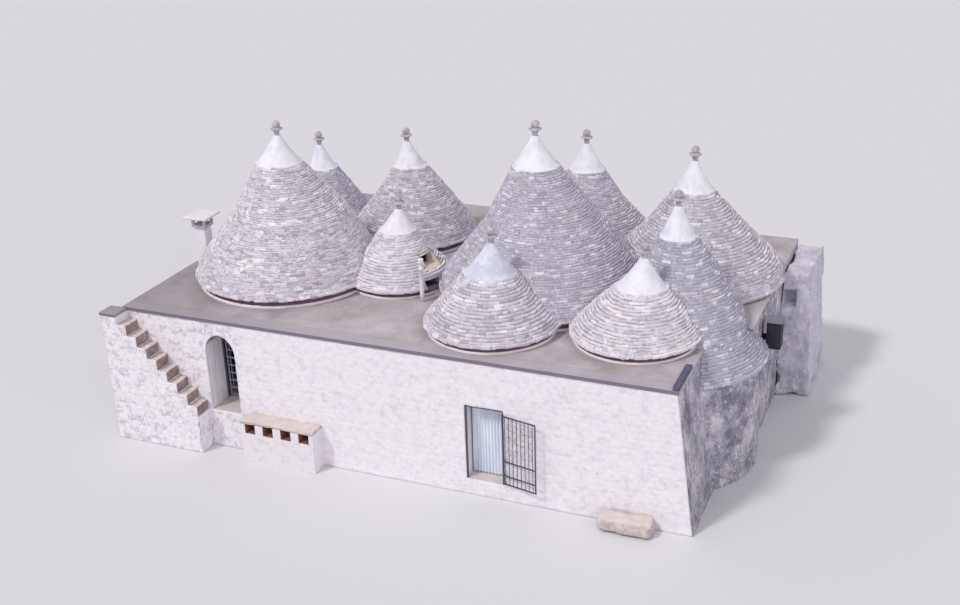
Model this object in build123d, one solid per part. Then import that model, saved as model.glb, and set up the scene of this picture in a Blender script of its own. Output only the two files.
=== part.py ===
from build123d import *
from collections import namedtuple
import math
import os

# A trullo house in millimetres. The ground is z = 0, the front wall faces -Y,
# and the front left corner of the walls stands at (left_x, front_y).

# Plan of the walls
house_width = 16250
house_depth = 11300
wall_thickness = 900
left_x = -8400
front_y = -5600
corner_batter = 490
corner_length = 2600
right_wall_offset = 1000
right_wall_thickness = 1150

# Levels
terrace_top = 4050
slab_lip_thickness = 100
slab_lip_overhang = 40
roof_bed_thickness = 300
low_floor = 480
high_floor = 1180
floor_step_x = 6500
terrace_seams = (10900, 14800)

# How far a cut runs past the face that it goes through
cut_past = 10

# Flat kerb at the right end of the terrace
kerb_width = 180
kerb_height = 110
kerb_length = 1350

# Arched doorway at the left
arch_left = 2640
arch_width = 960
arch_springing = 3030
arch_rise = 550

# Front doorway and its iron posts
door_left = 10590
door_width = 1100
door_height = 2210
post_section = 45
post_setback = 15

# Cones. Each has a centre from the front left corner, an eave radius, heights above the
# terrace for its eave, its cap's base and its cap's tip, and its cap's radius. Its side is
# straight but for a steep skirt of low courses: the swell says how far the middle stands out,
# and the last three say how far the middle, the cap's base and the tip sit to the right.
Ring = namedtuple("Ring", "x y radius z")
Cone = namedtuple("Cone", "x y radius eave cap_base cap_radius tip swell middle_lean cap_lean tip_lean")
cones = {
    "cone_big_left": Cone(3340, 3750, 2780, 250, 3500, 650, 4310, 20, 200, -50, -30),
    "cone_front_middle": Cone(10600, 2080, 1870, 200, 1580, 690, 2420, -60, -50, -40, 20),
    "cone_front_right": Cone(14440, 2620, 1740, 200, 1470, 640, 2270, 50, 90, 130, 200),
    "cone_window": Cone(6760, 4330, 1600, 200, 1590, 520, 2230, -100, -20, -20, 60),
    "cone_big_middle": Cone(11080, 4900, 3000, 250, 3720, 640, 4580, -100, 20, -220, -220),
    "cone_side_right": Cone(15170, 4120, 1880, 0, 2390, 490, 3230, -30, 60, -40, -50),
    "cone_back_left": Cone(2300, 7850, 1660, 250, 2050, 460, 2800, 20, 30, 50, -20),
    "cone_back_middle": Cone(5550, 7820, 2000, 250, 2400, 510, 3180, -30, 60, 0, -80),
    "cone_back_right": Cone(11140, 8600, 2150, 250, 2550, 530, 3350, -70, -60, 10, 10),
    "cone_big_right": Cone(14810, 7420, 2630, 100, 2610, 550, 3470, -90, 40, -60, -50),
}
cone_sides = 32
shell_thickness = 450
eave_overhang = 110
skirt_height = 420
skirt_inset = 155
full_skirt_rise = 2400
crown_thickness = 350
hollow_shoulder_drop = 60
hollow_middle_drop = 160
least_crown_radius = 120
meeting_margin = 50

# Rings of a cap: share of its height, and the shares of the cap's and the tip's radius
cap_rings = ((0.38, 0.56, 0.2), (0.72, 0.28, 0.45))

# Stone finials on the caps
finial_sides = 16
tip_radius = 105
neck_height = 165
neck_joint = 15
neck_foot_radius = 85
neck_top_radius = 115
disc_radius = 185
disc_thickness = 55
ball_foot_radius = 75
ball_radius = 130
ball_latitudes = (-35, 0, 35, 65)
ball_sink = 0.2

# Window and hatch in the small cone, and the plaster that lines the window
window_width = 560
window_height = 320
window_sill = 640
window_azimuth = -8
lining_thickness = 45
opening_start = 200
hatch_width = 520
hatch_height = 420
hatch_azimuth = -25

# Round bay under the cone at the right side
bay_radius = 2320
bay_skirt_radius = 2470
bay_eave_drop = 900
bay_inner_radius = 1400
bay_start_x = 16200

# Rough masonry mass at the back right corner
annex_width = 1050
annex_length = 3000
annex_top = 3950
annex_batter = 220
annex_skew = 250
niche_inset = 60
niche_width = 340
niche_height = 480
niche_depth = 450
niche_sill = 2900

# Outside stair along the front wall
stair_width = 570
stair_steps = 8
stair_going = 300
landing_left = -395
landing_length = 510
landing_cap_thickness = 100
landing_cap_overhang = 45

# Low bench with niches and the rounded stone seat
bench_left = 3900
bench_length = 2300
bench_depth = 520
bench_top = 1310
bench_slab = 110
bench_overhang = 30
bench_back = 150
niche_count = 4
bench_niche_width = 330
bench_niche_height = 300
seat_x = 15100
seat_length = 1450
seat_depth = 640
seat_height = 470
seat_corner = 224

# Chimney on the left edge of the roof
chimney_x = 290
chimney_y = 3800
chimney_base = 430
chimney_neck = 350
chimney_stack_height = 1180
chimney_band = 470
chimney_band_height = 300
chimney_post = 75
chimney_sill = 80
chimney_lintel = 60
chimney_slab = 840
chimney_slab_thickness = 90

# Vent pipe on the terrace
vent_x = 8080
vent_y = 3010
vent_radius = 55
vent_height = 1180
vent_cowl_radius = 85
vent_cowl_height = 150

# Flue box on the right flank
flue_x = 17610
flue_y = 5450
flue_section = 400
flue_bottom = 3000
flue_height = 780
flue_lid_overhang = 40
flue_lid_thickness = 45
flue_pipe_radius = 90
flue_pipe_height = 260

# Iron gate of the front doorway
gate_thickness = 24
gate_bottom_gap = 55
gate_top_gap = 60
gate_side_gap = 12
gate_stile = 34
gate_rail = 34
gate_bar = 14
gate_bars = 8
gate_rail_heights = (265, 695)
gate_open_angle = 168
hinge_offset = 48
pin_radius = 7
pin_length = 28
lug_thickness = 16
hinge_gap = 0.3
pin_clearance = 1.0

# Iron gate of the arched doorway
arch_gate_setback = 800
arch_gate_bar = 14
arch_gate_bars = 5
arch_gate_rails = 6
socket_spare = 4

# Curtain and its rod in the front doorway
curtain_setback = 400
curtain_thickness = 60
curtain_gap = 25
rod_radius = 10
rod_drop = 70

os.makedirs("parts", exist_ok=True)
shapes = {}


def place(x, y, z=0):
    """Turn a place measured from the front left corner into one in the model's frame."""
    return (left_x + x, front_y + y, z)


def block(x0, x1, y0, y1, z0, z1):
    """A plain box between two corners measured from the front left corner."""
    size = (x1 - x0, y1 - y0, z1 - z0)
    return Pos(*place(x0, y0, z0)) * Box(*size, align=(Align.MIN, Align.MIN, Align.MIN))


def polygon_ring(x, y, radius, z, sides):
    """A level polygon, as a face, about a centre measured from the front left corner."""
    points = []
    for i in range(sides):
        turn = 2 * math.pi * (i + 0.5) / sides
        points.append(Vector(*place(x + radius * math.cos(turn), y + radius * math.sin(turn), z)))
    return Face(Wire.make_polygon(points, close=True))


def stacked(rings, sides):
    """A many-sided turned solid through rings of (x, y, radius, z)."""
    return loft([polygon_ring(x, y, radius, z, sides) for x, y, radius, z in rings], ruled=True)


def outline_prism(points, z0, z1):
    """An upright prism on an outline measured from the front left corner."""
    corners = [Vector(*place(x, y, z0)) for x, y in points]
    return extrude(Face(Wire.make_polygon(corners, close=True)), amount=z1 - z0, dir=(0, 0, 1))


def cone_profile(name):
    """Rings of a cone's outside, from its eave to the cap's base."""
    cone = cones[name]
    base = terrace_top + cone.eave
    top = terrace_top + cone.cap_base
    rise = top - base
    skirt = skirt_height * min(1, rise / full_skirt_rise)
    shoulder = cone.radius - skirt_inset
    middle = (shoulder + cone.cap_radius) / 2 + cone.swell
    return [
        Ring(cone.x, cone.y, cone.radius, base),
        Ring(cone.x, cone.y, shoulder, base + skirt),
        Ring(cone.x + cone.middle_lean, cone.y, middle, base + (skirt + rise) / 2),
        Ring(cone.x + cone.cap_lean, cone.y, cone.cap_radius, top),
    ]


def foot_radius(name):
    """The radius of a cone where it stands on the terrace, inside its overhanging eave."""
    cone = cones[name]
    return cone.radius - (eave_overhang if cone.eave > 0 else 0)


def drum(name, radius, z0, z1, sides=cone_sides):
    """An upright many-sided drum on a cone's centre."""
    x, y = cones[name].x, cones[name].y
    return stacked([(x, y, radius, z0), (x, y, radius, z1)], sides)


def cone_outside(name):
    """A cone's full outside, with the low plastered ring under its eave."""
    outside = stacked(cone_profile(name), cone_sides)
    if cones[name].eave > 0:
        outside += drum(name, foot_radius(name), terrace_top, terrace_top + cones[name].eave)
    return outside


def cone_hollow(name):
    """The hollow under a cone, one wall thickness inside its outside."""
    eave, shoulder, middle, crown = cone_profile(name)
    rings = [
        (eave.x, eave.y, foot_radius(name) - shell_thickness, terrace_top),
        (shoulder.x, shoulder.y, shoulder.radius - shell_thickness, shoulder.z - hollow_shoulder_drop),
        (middle.x, middle.y, middle.radius - shell_thickness, middle.z - hollow_middle_drop),
        (crown.x, crown.y, max(crown.radius - shell_thickness / 2, least_crown_radius),
         crown.z - crown_thickness),
    ]
    return stacked(rings, cone_sides // 2)


def cone_cap(name):
    """The white plaster cap: a low rim, a hollow-sided cone and a blunt tip."""
    cone = cones[name]
    base = terrace_top + cone.cap_base
    height = cone.tip - cone.cap_base
    foot = cone.x + cone.cap_lean
    rings = [(foot, cone.y, cone.cap_radius, base)]
    for up, of_cap, of_tip in cap_rings:
        centre = foot + (cone.tip_lean - cone.cap_lean) * up
        rings.append((centre, cone.y, cone.cap_radius * of_cap + tip_radius * of_tip, base + height * up))
    rings.append((cone.x + cone.tip_lean, cone.y, tip_radius, base + height))
    return stacked(rings, cone_sides)


def finial(name):
    """A dressed stone finial: neck, disc and ball."""
    x, y = cones[name].x + cones[name].tip_lean, cones[name].y
    foot = terrace_top + cones[name].tip
    disc_bottom = foot + neck_height
    disc_top = disc_bottom + disc_thickness
    ball_centre = disc_top + ball_radius * (1 - ball_sink)
    rings = [
        (x, y, neck_foot_radius, foot),
        (x, y, neck_top_radius, disc_bottom - neck_joint),
        (x, y, disc_radius, disc_bottom),
        (x, y, disc_radius, disc_top),
        (x, y, ball_foot_radius, disc_top + neck_joint),
    ]
    for latitude in ball_latitudes:
        turn = math.radians(latitude)
        rings.append((x, y, ball_radius * math.cos(turn), ball_centre + ball_radius * math.sin(turn)))
    return stacked(rings, finial_sides)


def radial_box(name, azimuth, width, z0, z1):
    """A box that runs out through a cone's wall at an azimuth, for openings and linings."""
    cone = cones[name]
    start = Pos(*place(cone.x, cone.y, z0)) * Rot(0, 0, azimuth) * Pos(opening_start, 0, 0)
    length = cone.radius + cut_past - opening_start
    return start * Box(length, width, z1 - z0, align=(Align.MIN, Align.CENTER, Align.MIN))


def window_box(spare):
    """The small cone's window as a box, larger on each side by the spare width."""
    sill = terrace_top + window_sill
    return radial_box("cone_window", window_azimuth, window_width + 2 * spare,
                      sill - spare, sill + window_height + spare)


def near(first, second):
    """Whether two cones' eaves can meet."""
    a, b = cones[first], cones[second]
    return math.hypot(a.x - b.x, a.y - b.y) < a.radius + b.radius + meeting_margin


def make_cones():
    """Hollow stone cones. A cone is cut by each one that stands before it in the list."""
    order = list(cones)
    for index, name in enumerate(order):
        shell = cone_outside(name) - cone_hollow(name)
        for earlier in order[:index]:
            if near(name, earlier):
                shell -= cone_outside(earlier)
                shell -= cone_cap(earlier)
        if name == "cone_window":
            shell -= window_box(lining_thickness)
            shell -= radial_box(name, hatch_azimuth, hatch_width, terrace_top, terrace_top + hatch_height)
        shapes[name] = shell
    shapes["cone_caps"] = Compound(children=[cone_cap(name) for name in order])
    shapes["finials"] = Compound(children=[finial(name) for name in order])


def make_window_surround():
    """The plaster lining of the small cone's window, flush with the stones outside."""
    lining = window_box(lining_thickness) - window_box(0)
    wall = cone_outside("cone_window") - cone_hollow("cone_window")
    shapes["window_surround"] = lining & wall


def arch_face(x0, width, springing, rise, bottom):
    """The outline of the arched doorway as a face on the front wall."""
    half = width / 2
    arc_radius = (half * half + rise * rise) / (2 * half)
    with BuildSketch(Plane.XZ) as sketch:
        with BuildLine():
            Line((-half, bottom), (-half, springing))
            RadiusArc((-half, springing), (0, springing + rise), arc_radius)
            RadiusArc((0, springing + rise), (half, springing), arc_radius)
            Line((half, springing), (half, bottom))
            Line((half, bottom), (-half, bottom))
        make_face()
    return Pos(*place(x0 + half, 0)) * sketch.sketch


def make_front_walls():
    """The limewashed front wall, split beside and over its two doorways."""
    top = terrace_top - slab_lip_thickness
    arch_right = arch_left + arch_width
    door_right = door_left + door_width
    door_top = low_floor + door_height
    shapes["front_wall_left"] = block(0, arch_left, 0, wall_thickness, 0, top)
    head = block(arch_left, arch_right, 0, wall_thickness, arch_springing, top)
    void = extrude(arch_face(arch_left, arch_width, arch_springing, arch_rise, 0),
                   amount=wall_thickness + cut_past, both=True)
    shapes["arch_head"] = head - void
    shapes["front_wall_middle"] = block(arch_right, door_left, 0, wall_thickness, 0, top)
    shapes["door_head"] = block(door_left, door_right, 0, wall_thickness, door_top, top)
    shapes["front_wall_right"] = block(door_right, house_width - wall_thickness, 0, wall_thickness, 0, top)


def battered_corner():
    """The right corner wall, whose outer face leans out to a wider foot."""
    top = terrace_top - slab_lip_thickness
    inner = house_width - wall_thickness
    with BuildSketch(Plane.XZ) as sketch:
        with BuildLine():
            Polyline((inner, 0), (house_width + corner_batter, 0), (house_width, top), (inner, top),
                     close=True)
        make_face()
    wall = extrude(sketch.sketch, amount=-corner_length)
    return Pos(*place(0, 0)) * wall


def bay_outside():
    """The round bay under the side cone with its sloping stone skirt."""
    cone = cones["cone_side_right"]
    eave = terrace_top - bay_eave_drop
    skirt = stacked([(cone.x, cone.y, bay_skirt_radius, eave),
                     (cone.x, cone.y, cone.radius, terrace_top)], cone_sides)
    return drum("cone_side_right", bay_radius, 0, eave) + skirt


def make_side_walls():
    """Left, back and right walls, the round bay and the rough mass at the back."""
    top = terrace_top - slab_lip_thickness
    x, y = cones["cone_side_right"].x, cones["cone_side_right"].y
    right_outer = house_width + right_wall_offset
    right_inner = right_outer - right_wall_thickness
    back_inner = house_depth - wall_thickness
    shapes["left_wall"] = block(0, wall_thickness, wall_thickness, house_depth, 0, top)
    shapes["back_wall"] = block(wall_thickness, right_inner, back_inner, house_depth, 0, top)
    bay = bay_outside()
    hollow = drum("cone_side_right", bay_inner_radius, -cut_past, terrace_top + cut_past, cone_sides // 2)
    keep = block(bay_start_x, x + bay_skirt_radius, 0, house_depth, 0, terrace_top)
    shapes["round_bay"] = (bay & keep) - hollow
    shapes["right_corner_wall"] = battered_corner() - (bay & keep)
    rear = block(right_inner, right_outer, y, house_depth, 0, top)
    shapes["right_wall_back"] = rear - bay
    make_annex(right_outer)


def make_annex(right_outer):
    """The rough battered mass behind the right wall, with its dark niche."""
    start = house_depth - annex_length
    faces = []
    for batter, z in ((0, 0), (annex_batter, annex_top)):
        side = right_outer + annex_width - batter
        corners = [(right_outer, start + batter), (side, start + annex_skew + batter),
                   (side, house_depth), (right_outer, house_depth)]
        faces.append(Face(Wire.make_polygon([Vector(*place(px, py, z)) for px, py in corners], close=True)))
    mass = loft(faces, ruled=True)
    niche_left = right_outer + niche_inset
    niche = block(niche_left, niche_left + niche_width, start, start + niche_depth,
                  niche_sill, niche_sill + niche_height)
    shapes["rear_mass"] = mass - niche


def make_floors():
    """Two floor beds: the higher one behind the arched doorway, the lower one behind the front doorway."""
    back_inner = house_depth - wall_thickness
    right_inner = house_width + right_wall_offset - right_wall_thickness
    arch_right = arch_left + arch_width
    door_right = door_left + door_width
    high = block(wall_thickness, floor_step_x, wall_thickness, back_inner, 0, high_floor)
    high += block(arch_left, arch_right, 0, wall_thickness, 0, high_floor)
    low = block(floor_step_x, right_inner, wall_thickness, back_inner, 0, low_floor)
    low -= shapes["right_corner_wall"]
    low += block(door_left, door_right, 0, wall_thickness, 0, low_floor)
    shapes["high_floor"] = high
    shapes["low_floor"] = low


def make_terrace():
    """The flat cement terrace in three bays, with a hole under each cone and its bed inside the walls."""
    lip = slab_lip_overhang
    right_outer = house_width + right_wall_offset
    y = cones["cone_side_right"].y
    bed_bottom = terrace_top - slab_lip_thickness - roof_bed_thickness
    outline = [(-lip, -lip), (house_width + lip, -lip), (house_width + lip, y), (right_outer, y),
               (right_outer, house_depth), (-lip, house_depth)]
    plate = outline_prism(outline, terrace_top - slab_lip_thickness, terrace_top)
    right_inner = right_outer - right_wall_thickness
    bed = block(wall_thickness, right_inner, wall_thickness, house_depth - wall_thickness,
                bed_bottom, terrace_top - slab_lip_thickness)
    bed -= shapes["right_corner_wall"]
    slab = plate + bed
    slab -= shapes["round_bay"]
    order = list(cones)
    for index, name in enumerate(order):
        radius = foot_radius(name) - shell_thickness
        hole = drum(name, radius, bed_bottom - cut_past, terrace_top + cut_past, cone_sides // 2)
        for earlier in order[:index]:
            if near(name, earlier):
                hole -= drum(earlier, foot_radius(earlier), bed_bottom - 2 * cut_past,
                             terrace_top + 2 * cut_past)
        slab -= hole
    ends = (-lip, *terrace_seams, right_outer)
    for name, x0, x1 in zip(("terrace_left", "terrace_middle", "terrace_right"), ends, ends[1:]):
        shapes[name] = slab & block(x0, x1, -lip, house_depth, bed_bottom, terrace_top)
    kerb = block(house_width + lip - kerb_width, house_width + lip, -lip, kerb_length - lip,
                 terrace_top, terrace_top + kerb_height)
    shapes["terrace_kerb"] = kerb - cone_outside("cone_front_right") - cone_outside("cone_side_right")


def make_stair():
    """The outside stair: a stepped masonry flight, stone steps one rise high and the landing's cap."""
    rise = (terrace_top - high_floor) / (stair_steps + 1)
    first = landing_left + landing_length
    base = block(landing_left, first, -stair_width, 0, 0, terrace_top - landing_cap_thickness)
    treads = []
    for i in range(stair_steps):
        top = terrace_top - rise * (i + 1)
        x0 = first + stair_going * i
        base += block(x0, x0 + stair_going, -stair_width, 0, 0, top - rise)
        treads.append(block(x0, x0 + stair_going, -stair_width, 0, top - rise, top))
    shapes["stair_flight"] = base
    shapes["stair_treads"] = Compound(children=treads)
    over = landing_cap_overhang
    cap = block(landing_left - over, first, -stair_width - over, -slab_lip_overhang,
                terrace_top - landing_cap_thickness, terrace_top)
    shapes["landing_cap"] = cap


def make_bench():
    """The low whitewashed bench with small niches under its slab, and the rounded stone seat."""
    base = block(bench_left, bench_left + bench_length, -bench_depth, 0, 0, bench_top - bench_slab)
    pitch = bench_length / niche_count
    for i in range(niche_count):
        x0 = bench_left + pitch * (i + 0.5) - bench_niche_width / 2
        base -= block(x0, x0 + bench_niche_width, -bench_depth - cut_past, -bench_back,
                      bench_top - bench_slab - bench_niche_height, bench_top - bench_slab + cut_past)
    shapes["bench_base"] = base
    over = bench_overhang
    shapes["bench_slab"] = block(bench_left - over, bench_left + bench_length + over, -bench_depth - over, 0,
                                 bench_top - bench_slab, bench_top)
    seat = block(seat_x - seat_length / 2, seat_x + seat_length / 2, -seat_depth, 0, 0, seat_height)
    front = [edge for edge in seat.edges().filter_by(Axis.Z) if edge.center().Y < front_y - seat_depth / 2]
    shapes["stone_seat"] = chamfer(front, seat_corner)


def make_chimney():
    """The tapered chimney: white stack, a grey band with openings and a flat slab."""
    x, y = chimney_x, chimney_y
    rings = []
    for half, z in ((chimney_base / 2, terrace_top), (chimney_neck / 2, terrace_top + chimney_stack_height)):
        corners = [(x - half, y - half), (x + half, y - half), (x + half, y + half), (x - half, y + half)]
        rings.append(Face(Wire.make_polygon([Vector(*place(px, py, z)) for px, py in corners], close=True)))
    shapes["chimney_stack"] = loft(rings, ruled=True)
    z0 = terrace_top + chimney_stack_height
    half = chimney_band / 2
    band = block(x - half, x + half, y - half, y + half, z0, z0 + chimney_band_height)
    gap = half - chimney_post
    past = half + cut_past
    low, high = z0 + chimney_sill, z0 + chimney_band_height - chimney_lintel
    band -= block(x - past, x + past, y - gap, y + gap, low, high)
    band -= block(x - gap, x + gap, y - past, y + past, low, high)
    shapes["chimney_head"] = band
    half = chimney_slab / 2
    z1 = z0 + chimney_band_height
    shapes["chimney_slab"] = block(x - half, x + half, y - half, y + half, z1, z1 + chimney_slab_thickness)


def make_vent():
    """The vent pipe and its cowl."""
    foot = Pos(*place(vent_x, vent_y, terrace_top))
    up = (Align.CENTER, Align.CENTER, Align.MIN)
    pipe = foot * Cylinder(vent_radius, vent_height, align=up)
    pipe += foot * Pos(0, 0, vent_height) * Cylinder(vent_cowl_radius, vent_cowl_height, align=up)
    shapes["vent_pipe"] = pipe


def make_flue():
    """The metal flue box on the right flank, with its lid and the pipe into the wall."""
    half = flue_section / 2
    top = flue_bottom + flue_height
    box = block(flue_x - half, flue_x + half, flue_y - half, flue_y + half, flue_bottom, top)
    run = Pos(*place(flue_x, flue_y, flue_bottom + flue_pipe_height)) * Rot(0, -90, 0)
    reach = flue_x - house_width - right_wall_offset + right_wall_thickness
    pipe = run * Cylinder(flue_pipe_radius, reach, align=(Align.CENTER, Align.CENTER, Align.MIN))
    pipe -= bay_outside()
    pipe -= shapes["right_wall_back"]
    outer = pipe.solids().sort_by(Axis.X)[-1]
    shapes["flue_box"] = box + outer
    lid = flue_lid_overhang + half
    shapes["flue_lid"] = block(flue_x - lid, flue_x + lid, flue_y - lid, flue_y + lid,
                               top, top + flue_lid_thickness)


def bar(x0, x1, z0, z1, thickness):
    """A flat bar in a gate's own plane, centred on that plane."""
    return Pos((x0 + x1) / 2, 0, (z0 + z1) / 2) * Box(x1 - x0, thickness, z1 - z0)


def gate_panel(width, height, bars, rail_heights, bar_size):
    """A barred gate leaf in its own frame: hinge axis at x = 0, running to -x, foot at z = 0."""
    half = gate_stile / 2
    leaf = Cylinder(half, height, align=(Align.CENTER, Align.CENTER, Align.MIN))
    leaf += bar(-width, -width + gate_stile, 0, height, gate_thickness)
    leaf += bar(-width, 0, 0, gate_rail, gate_thickness)
    leaf += bar(-width, 0, height - gate_rail, height, gate_thickness)
    for z in rail_heights:
        leaf += bar(-width, 0, z - gate_rail / 2, z + gate_rail / 2, gate_thickness)
    for i in range(bars):
        x = -width + gate_stile + (width - gate_stile - half) * (i + 0.5) / bars
        leaf += bar(x - bar_size / 2, x + bar_size / 2, gate_rail, height - gate_rail, bar_size)
    socket = Cylinder(pin_radius + pin_clearance, 2 * (pin_length + socket_spare))
    leaf -= socket
    leaf -= Pos(0, 0, height) * socket
    return leaf


def hinge_lug(x0, x1, y0, y1, z, pin_up):
    """A lug with a round pin, in a frame with the pin's axis at x = y = 0."""
    z0 = z - lug_thickness if pin_up else z
    lug = Pos((x0 + x1) / 2, (y0 + y1) / 2, z0 + lug_thickness / 2) * Box(x1 - x0, y1 - y0, lug_thickness)
    align = (Align.CENTER, Align.CENTER, Align.MIN if pin_up else Align.MAX)
    return lug + Pos(0, 0, z) * Cylinder(pin_radius, pin_length, align=align)


def make_front_gate():
    """Iron posts and head bar in the front doorway and the gate leaf, swung open to the right."""
    door_right = door_left + door_width
    foot = low_floor
    head = low_floor + door_height
    y0 = post_setback
    y1 = post_setback + post_section
    frame = block(door_left, door_left + post_section, y0, y1, foot, head)
    frame += block(door_right - post_section, door_right, y0, y1, foot, head)
    frame += block(door_left, door_right, y0, y1, head - post_section, head)
    axis_x = door_right - post_section / 2
    axis_y = -hinge_offset
    leaf_foot = foot + gate_bottom_gap
    leaf_height = door_height - post_section - gate_bottom_gap - gate_top_gap
    width = door_width - 1.5 * post_section - gate_side_gap
    here = Pos(*place(axis_x, axis_y))
    reach = hinge_offset + post_setback
    half = gate_stile / 2
    frame += here * hinge_lug(-half, half, -half, reach, leaf_foot - hinge_gap, True)
    frame += here * hinge_lug(-half, half, -half, reach, leaf_foot + leaf_height + hinge_gap, False)
    shapes["gate_frame"] = frame
    leaf = gate_panel(width, leaf_height, gate_bars, gate_rail_heights, gate_bar)
    shapes["gate_leaf"] = Pos(*place(axis_x, axis_y, leaf_foot)) * Rot(0, 0, gate_open_angle) * leaf


def make_arch_gate():
    """Iron posts and the barred gate deep in the arched doorway."""
    arch_right = arch_left + arch_width
    foot = high_floor
    y0 = arch_gate_setback
    y1 = y0 + post_section
    frame = block(arch_left, arch_left + post_section, y0, y1, foot, arch_springing)
    frame += block(arch_right - post_section, arch_right, y0, y1, foot, arch_springing)
    frame += block(arch_left, arch_right, y0, y1, arch_springing - post_section, arch_springing)
    axis_x = arch_right - post_section / 2
    axis_y = y1 + hinge_offset
    leaf_foot = foot + gate_bottom_gap
    leaf_height = arch_springing - high_floor - post_section - gate_bottom_gap - gate_top_gap
    width = arch_width - 1.5 * post_section - gate_side_gap
    here = Pos(*place(axis_x, axis_y))
    half = gate_stile / 2
    frame += here * hinge_lug(-half, half, -hinge_offset, half, leaf_foot - hinge_gap, True)
    frame += here * hinge_lug(-half, half, -hinge_offset, half, leaf_foot + leaf_height + hinge_gap, False)
    shapes["arch_gate_frame"] = frame
    rail_heights = [leaf_height * (i + 1) / (arch_gate_rails + 1) for i in range(arch_gate_rails)]
    leaf = gate_panel(width, leaf_height, arch_gate_bars, rail_heights, arch_gate_bar)
    shapes["arch_gate_leaf"] = Pos(*place(axis_x, axis_y, leaf_foot)) * leaf


def make_curtain():
    """The gathered curtain and the rod that it hangs from."""
    door_right = door_left + door_width
    head = low_floor + door_height
    rod_z = head - rod_drop
    rod = Pos(*place(door_left, curtain_setback, rod_z)) * Rot(0, 90, 0)
    along = (Align.CENTER, Align.CENTER, Align.MIN)
    shapes["curtain_rod"] = rod * Cylinder(rod_radius, door_width, align=along)
    half = curtain_thickness / 2
    shapes["door_curtain"] = block(door_left + curtain_gap, door_right - curtain_gap,
                                   curtain_setback - half, curtain_setback + half,
                                   low_floor + curtain_gap, rod_z - rod_radius - hinge_gap)


make_front_walls()
make_side_walls()
make_floors()
make_terrace()
make_cones()
make_window_surround()
make_stair()
make_bench()
make_chimney()
make_vent()
make_flue()
make_front_gate()
make_arch_gate()
make_curtain()

for name, shape in shapes.items():
    export_step(shape, f"parts/{name}.step")
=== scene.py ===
import math
from collections import namedtuple

import bpy
import numpy as np
from mathutils import Matrix, Vector


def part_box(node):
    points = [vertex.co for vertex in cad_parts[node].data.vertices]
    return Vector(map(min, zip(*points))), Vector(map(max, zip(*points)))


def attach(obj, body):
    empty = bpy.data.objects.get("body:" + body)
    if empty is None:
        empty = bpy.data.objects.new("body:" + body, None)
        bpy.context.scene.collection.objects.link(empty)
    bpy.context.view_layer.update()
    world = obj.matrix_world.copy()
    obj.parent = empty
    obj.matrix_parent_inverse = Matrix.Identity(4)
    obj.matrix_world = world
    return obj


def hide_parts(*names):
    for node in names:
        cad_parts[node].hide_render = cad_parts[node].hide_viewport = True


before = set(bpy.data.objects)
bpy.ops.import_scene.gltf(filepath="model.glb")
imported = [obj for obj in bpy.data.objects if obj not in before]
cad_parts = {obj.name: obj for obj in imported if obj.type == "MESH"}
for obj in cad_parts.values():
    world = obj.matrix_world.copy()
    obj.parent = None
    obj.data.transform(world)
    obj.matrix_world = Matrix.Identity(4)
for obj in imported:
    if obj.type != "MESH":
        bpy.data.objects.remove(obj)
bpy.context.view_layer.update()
print("frame loaded")

# Places are in metres. The house's front left corner, seen from the front, is the start
# of the plan: a plan place (x, y) lies at (houseLeft + x, houseFront + y) in the frame.
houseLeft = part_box("front_wall_left")[0].x
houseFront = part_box("front_wall_left")[0].y
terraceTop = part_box("terrace_left")[1].z


# Numbers that look random but are the same each run: each piece has its own seed.
def draws(seed):
    return np.random.default_rng(seed)


# A share from 0 to 1, eased in and out.
def eased(share):
    return share * share * (3 - 2 * share)


# A number from -1 to 1 for each cell of a grid, the same each run.
def cellValue(seed, *cells):
    code = seed * 668265263
    for cell, factor in zip(cells, (73856093, 19349663, 83492791)):
        code = code ^ (cell.astype(np.int64) * factor)
    code = ((code ^ (code >> 13)) * 1274126177) & 0x7FFFFFFF
    return ((code ^ (code >> 15)) & 0xFFFF) / 32767.5 - 1


# Smooth noise from -1 to 1 at each point: the values of the eight corners of the cell that
# holds the point, mixed by an eased share along each axis.
def softNoise(points, cell, seed):
    scaled = np.asarray(points, float) / cell
    low = np.floor(scaled).astype(np.int64)
    part = eased(scaled - low)
    total = np.zeros(len(scaled))
    for corner in np.ndindex(2, 2, 2):
        weight = np.where(corner, part, 1 - part).prod(axis=1)
        total += weight * cellValue(seed, *(low + np.array(corner)).T)
    return total


# Octaves of the noise above, each half as strong and half as large as the last.
def roughNoise(points, cell, seed, octaves=3):
    total = np.zeros(len(points))
    for octave in range(octaves):
        total += softNoise(points, cell / 2 ** octave, seed + octave) / 2 ** octave
    return total


# A new object in the scene.
def placed(name, data):
    thing = bpy.data.objects.new(name, data)
    bpy.context.scene.collection.objects.link(thing)
    return thing


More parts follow.
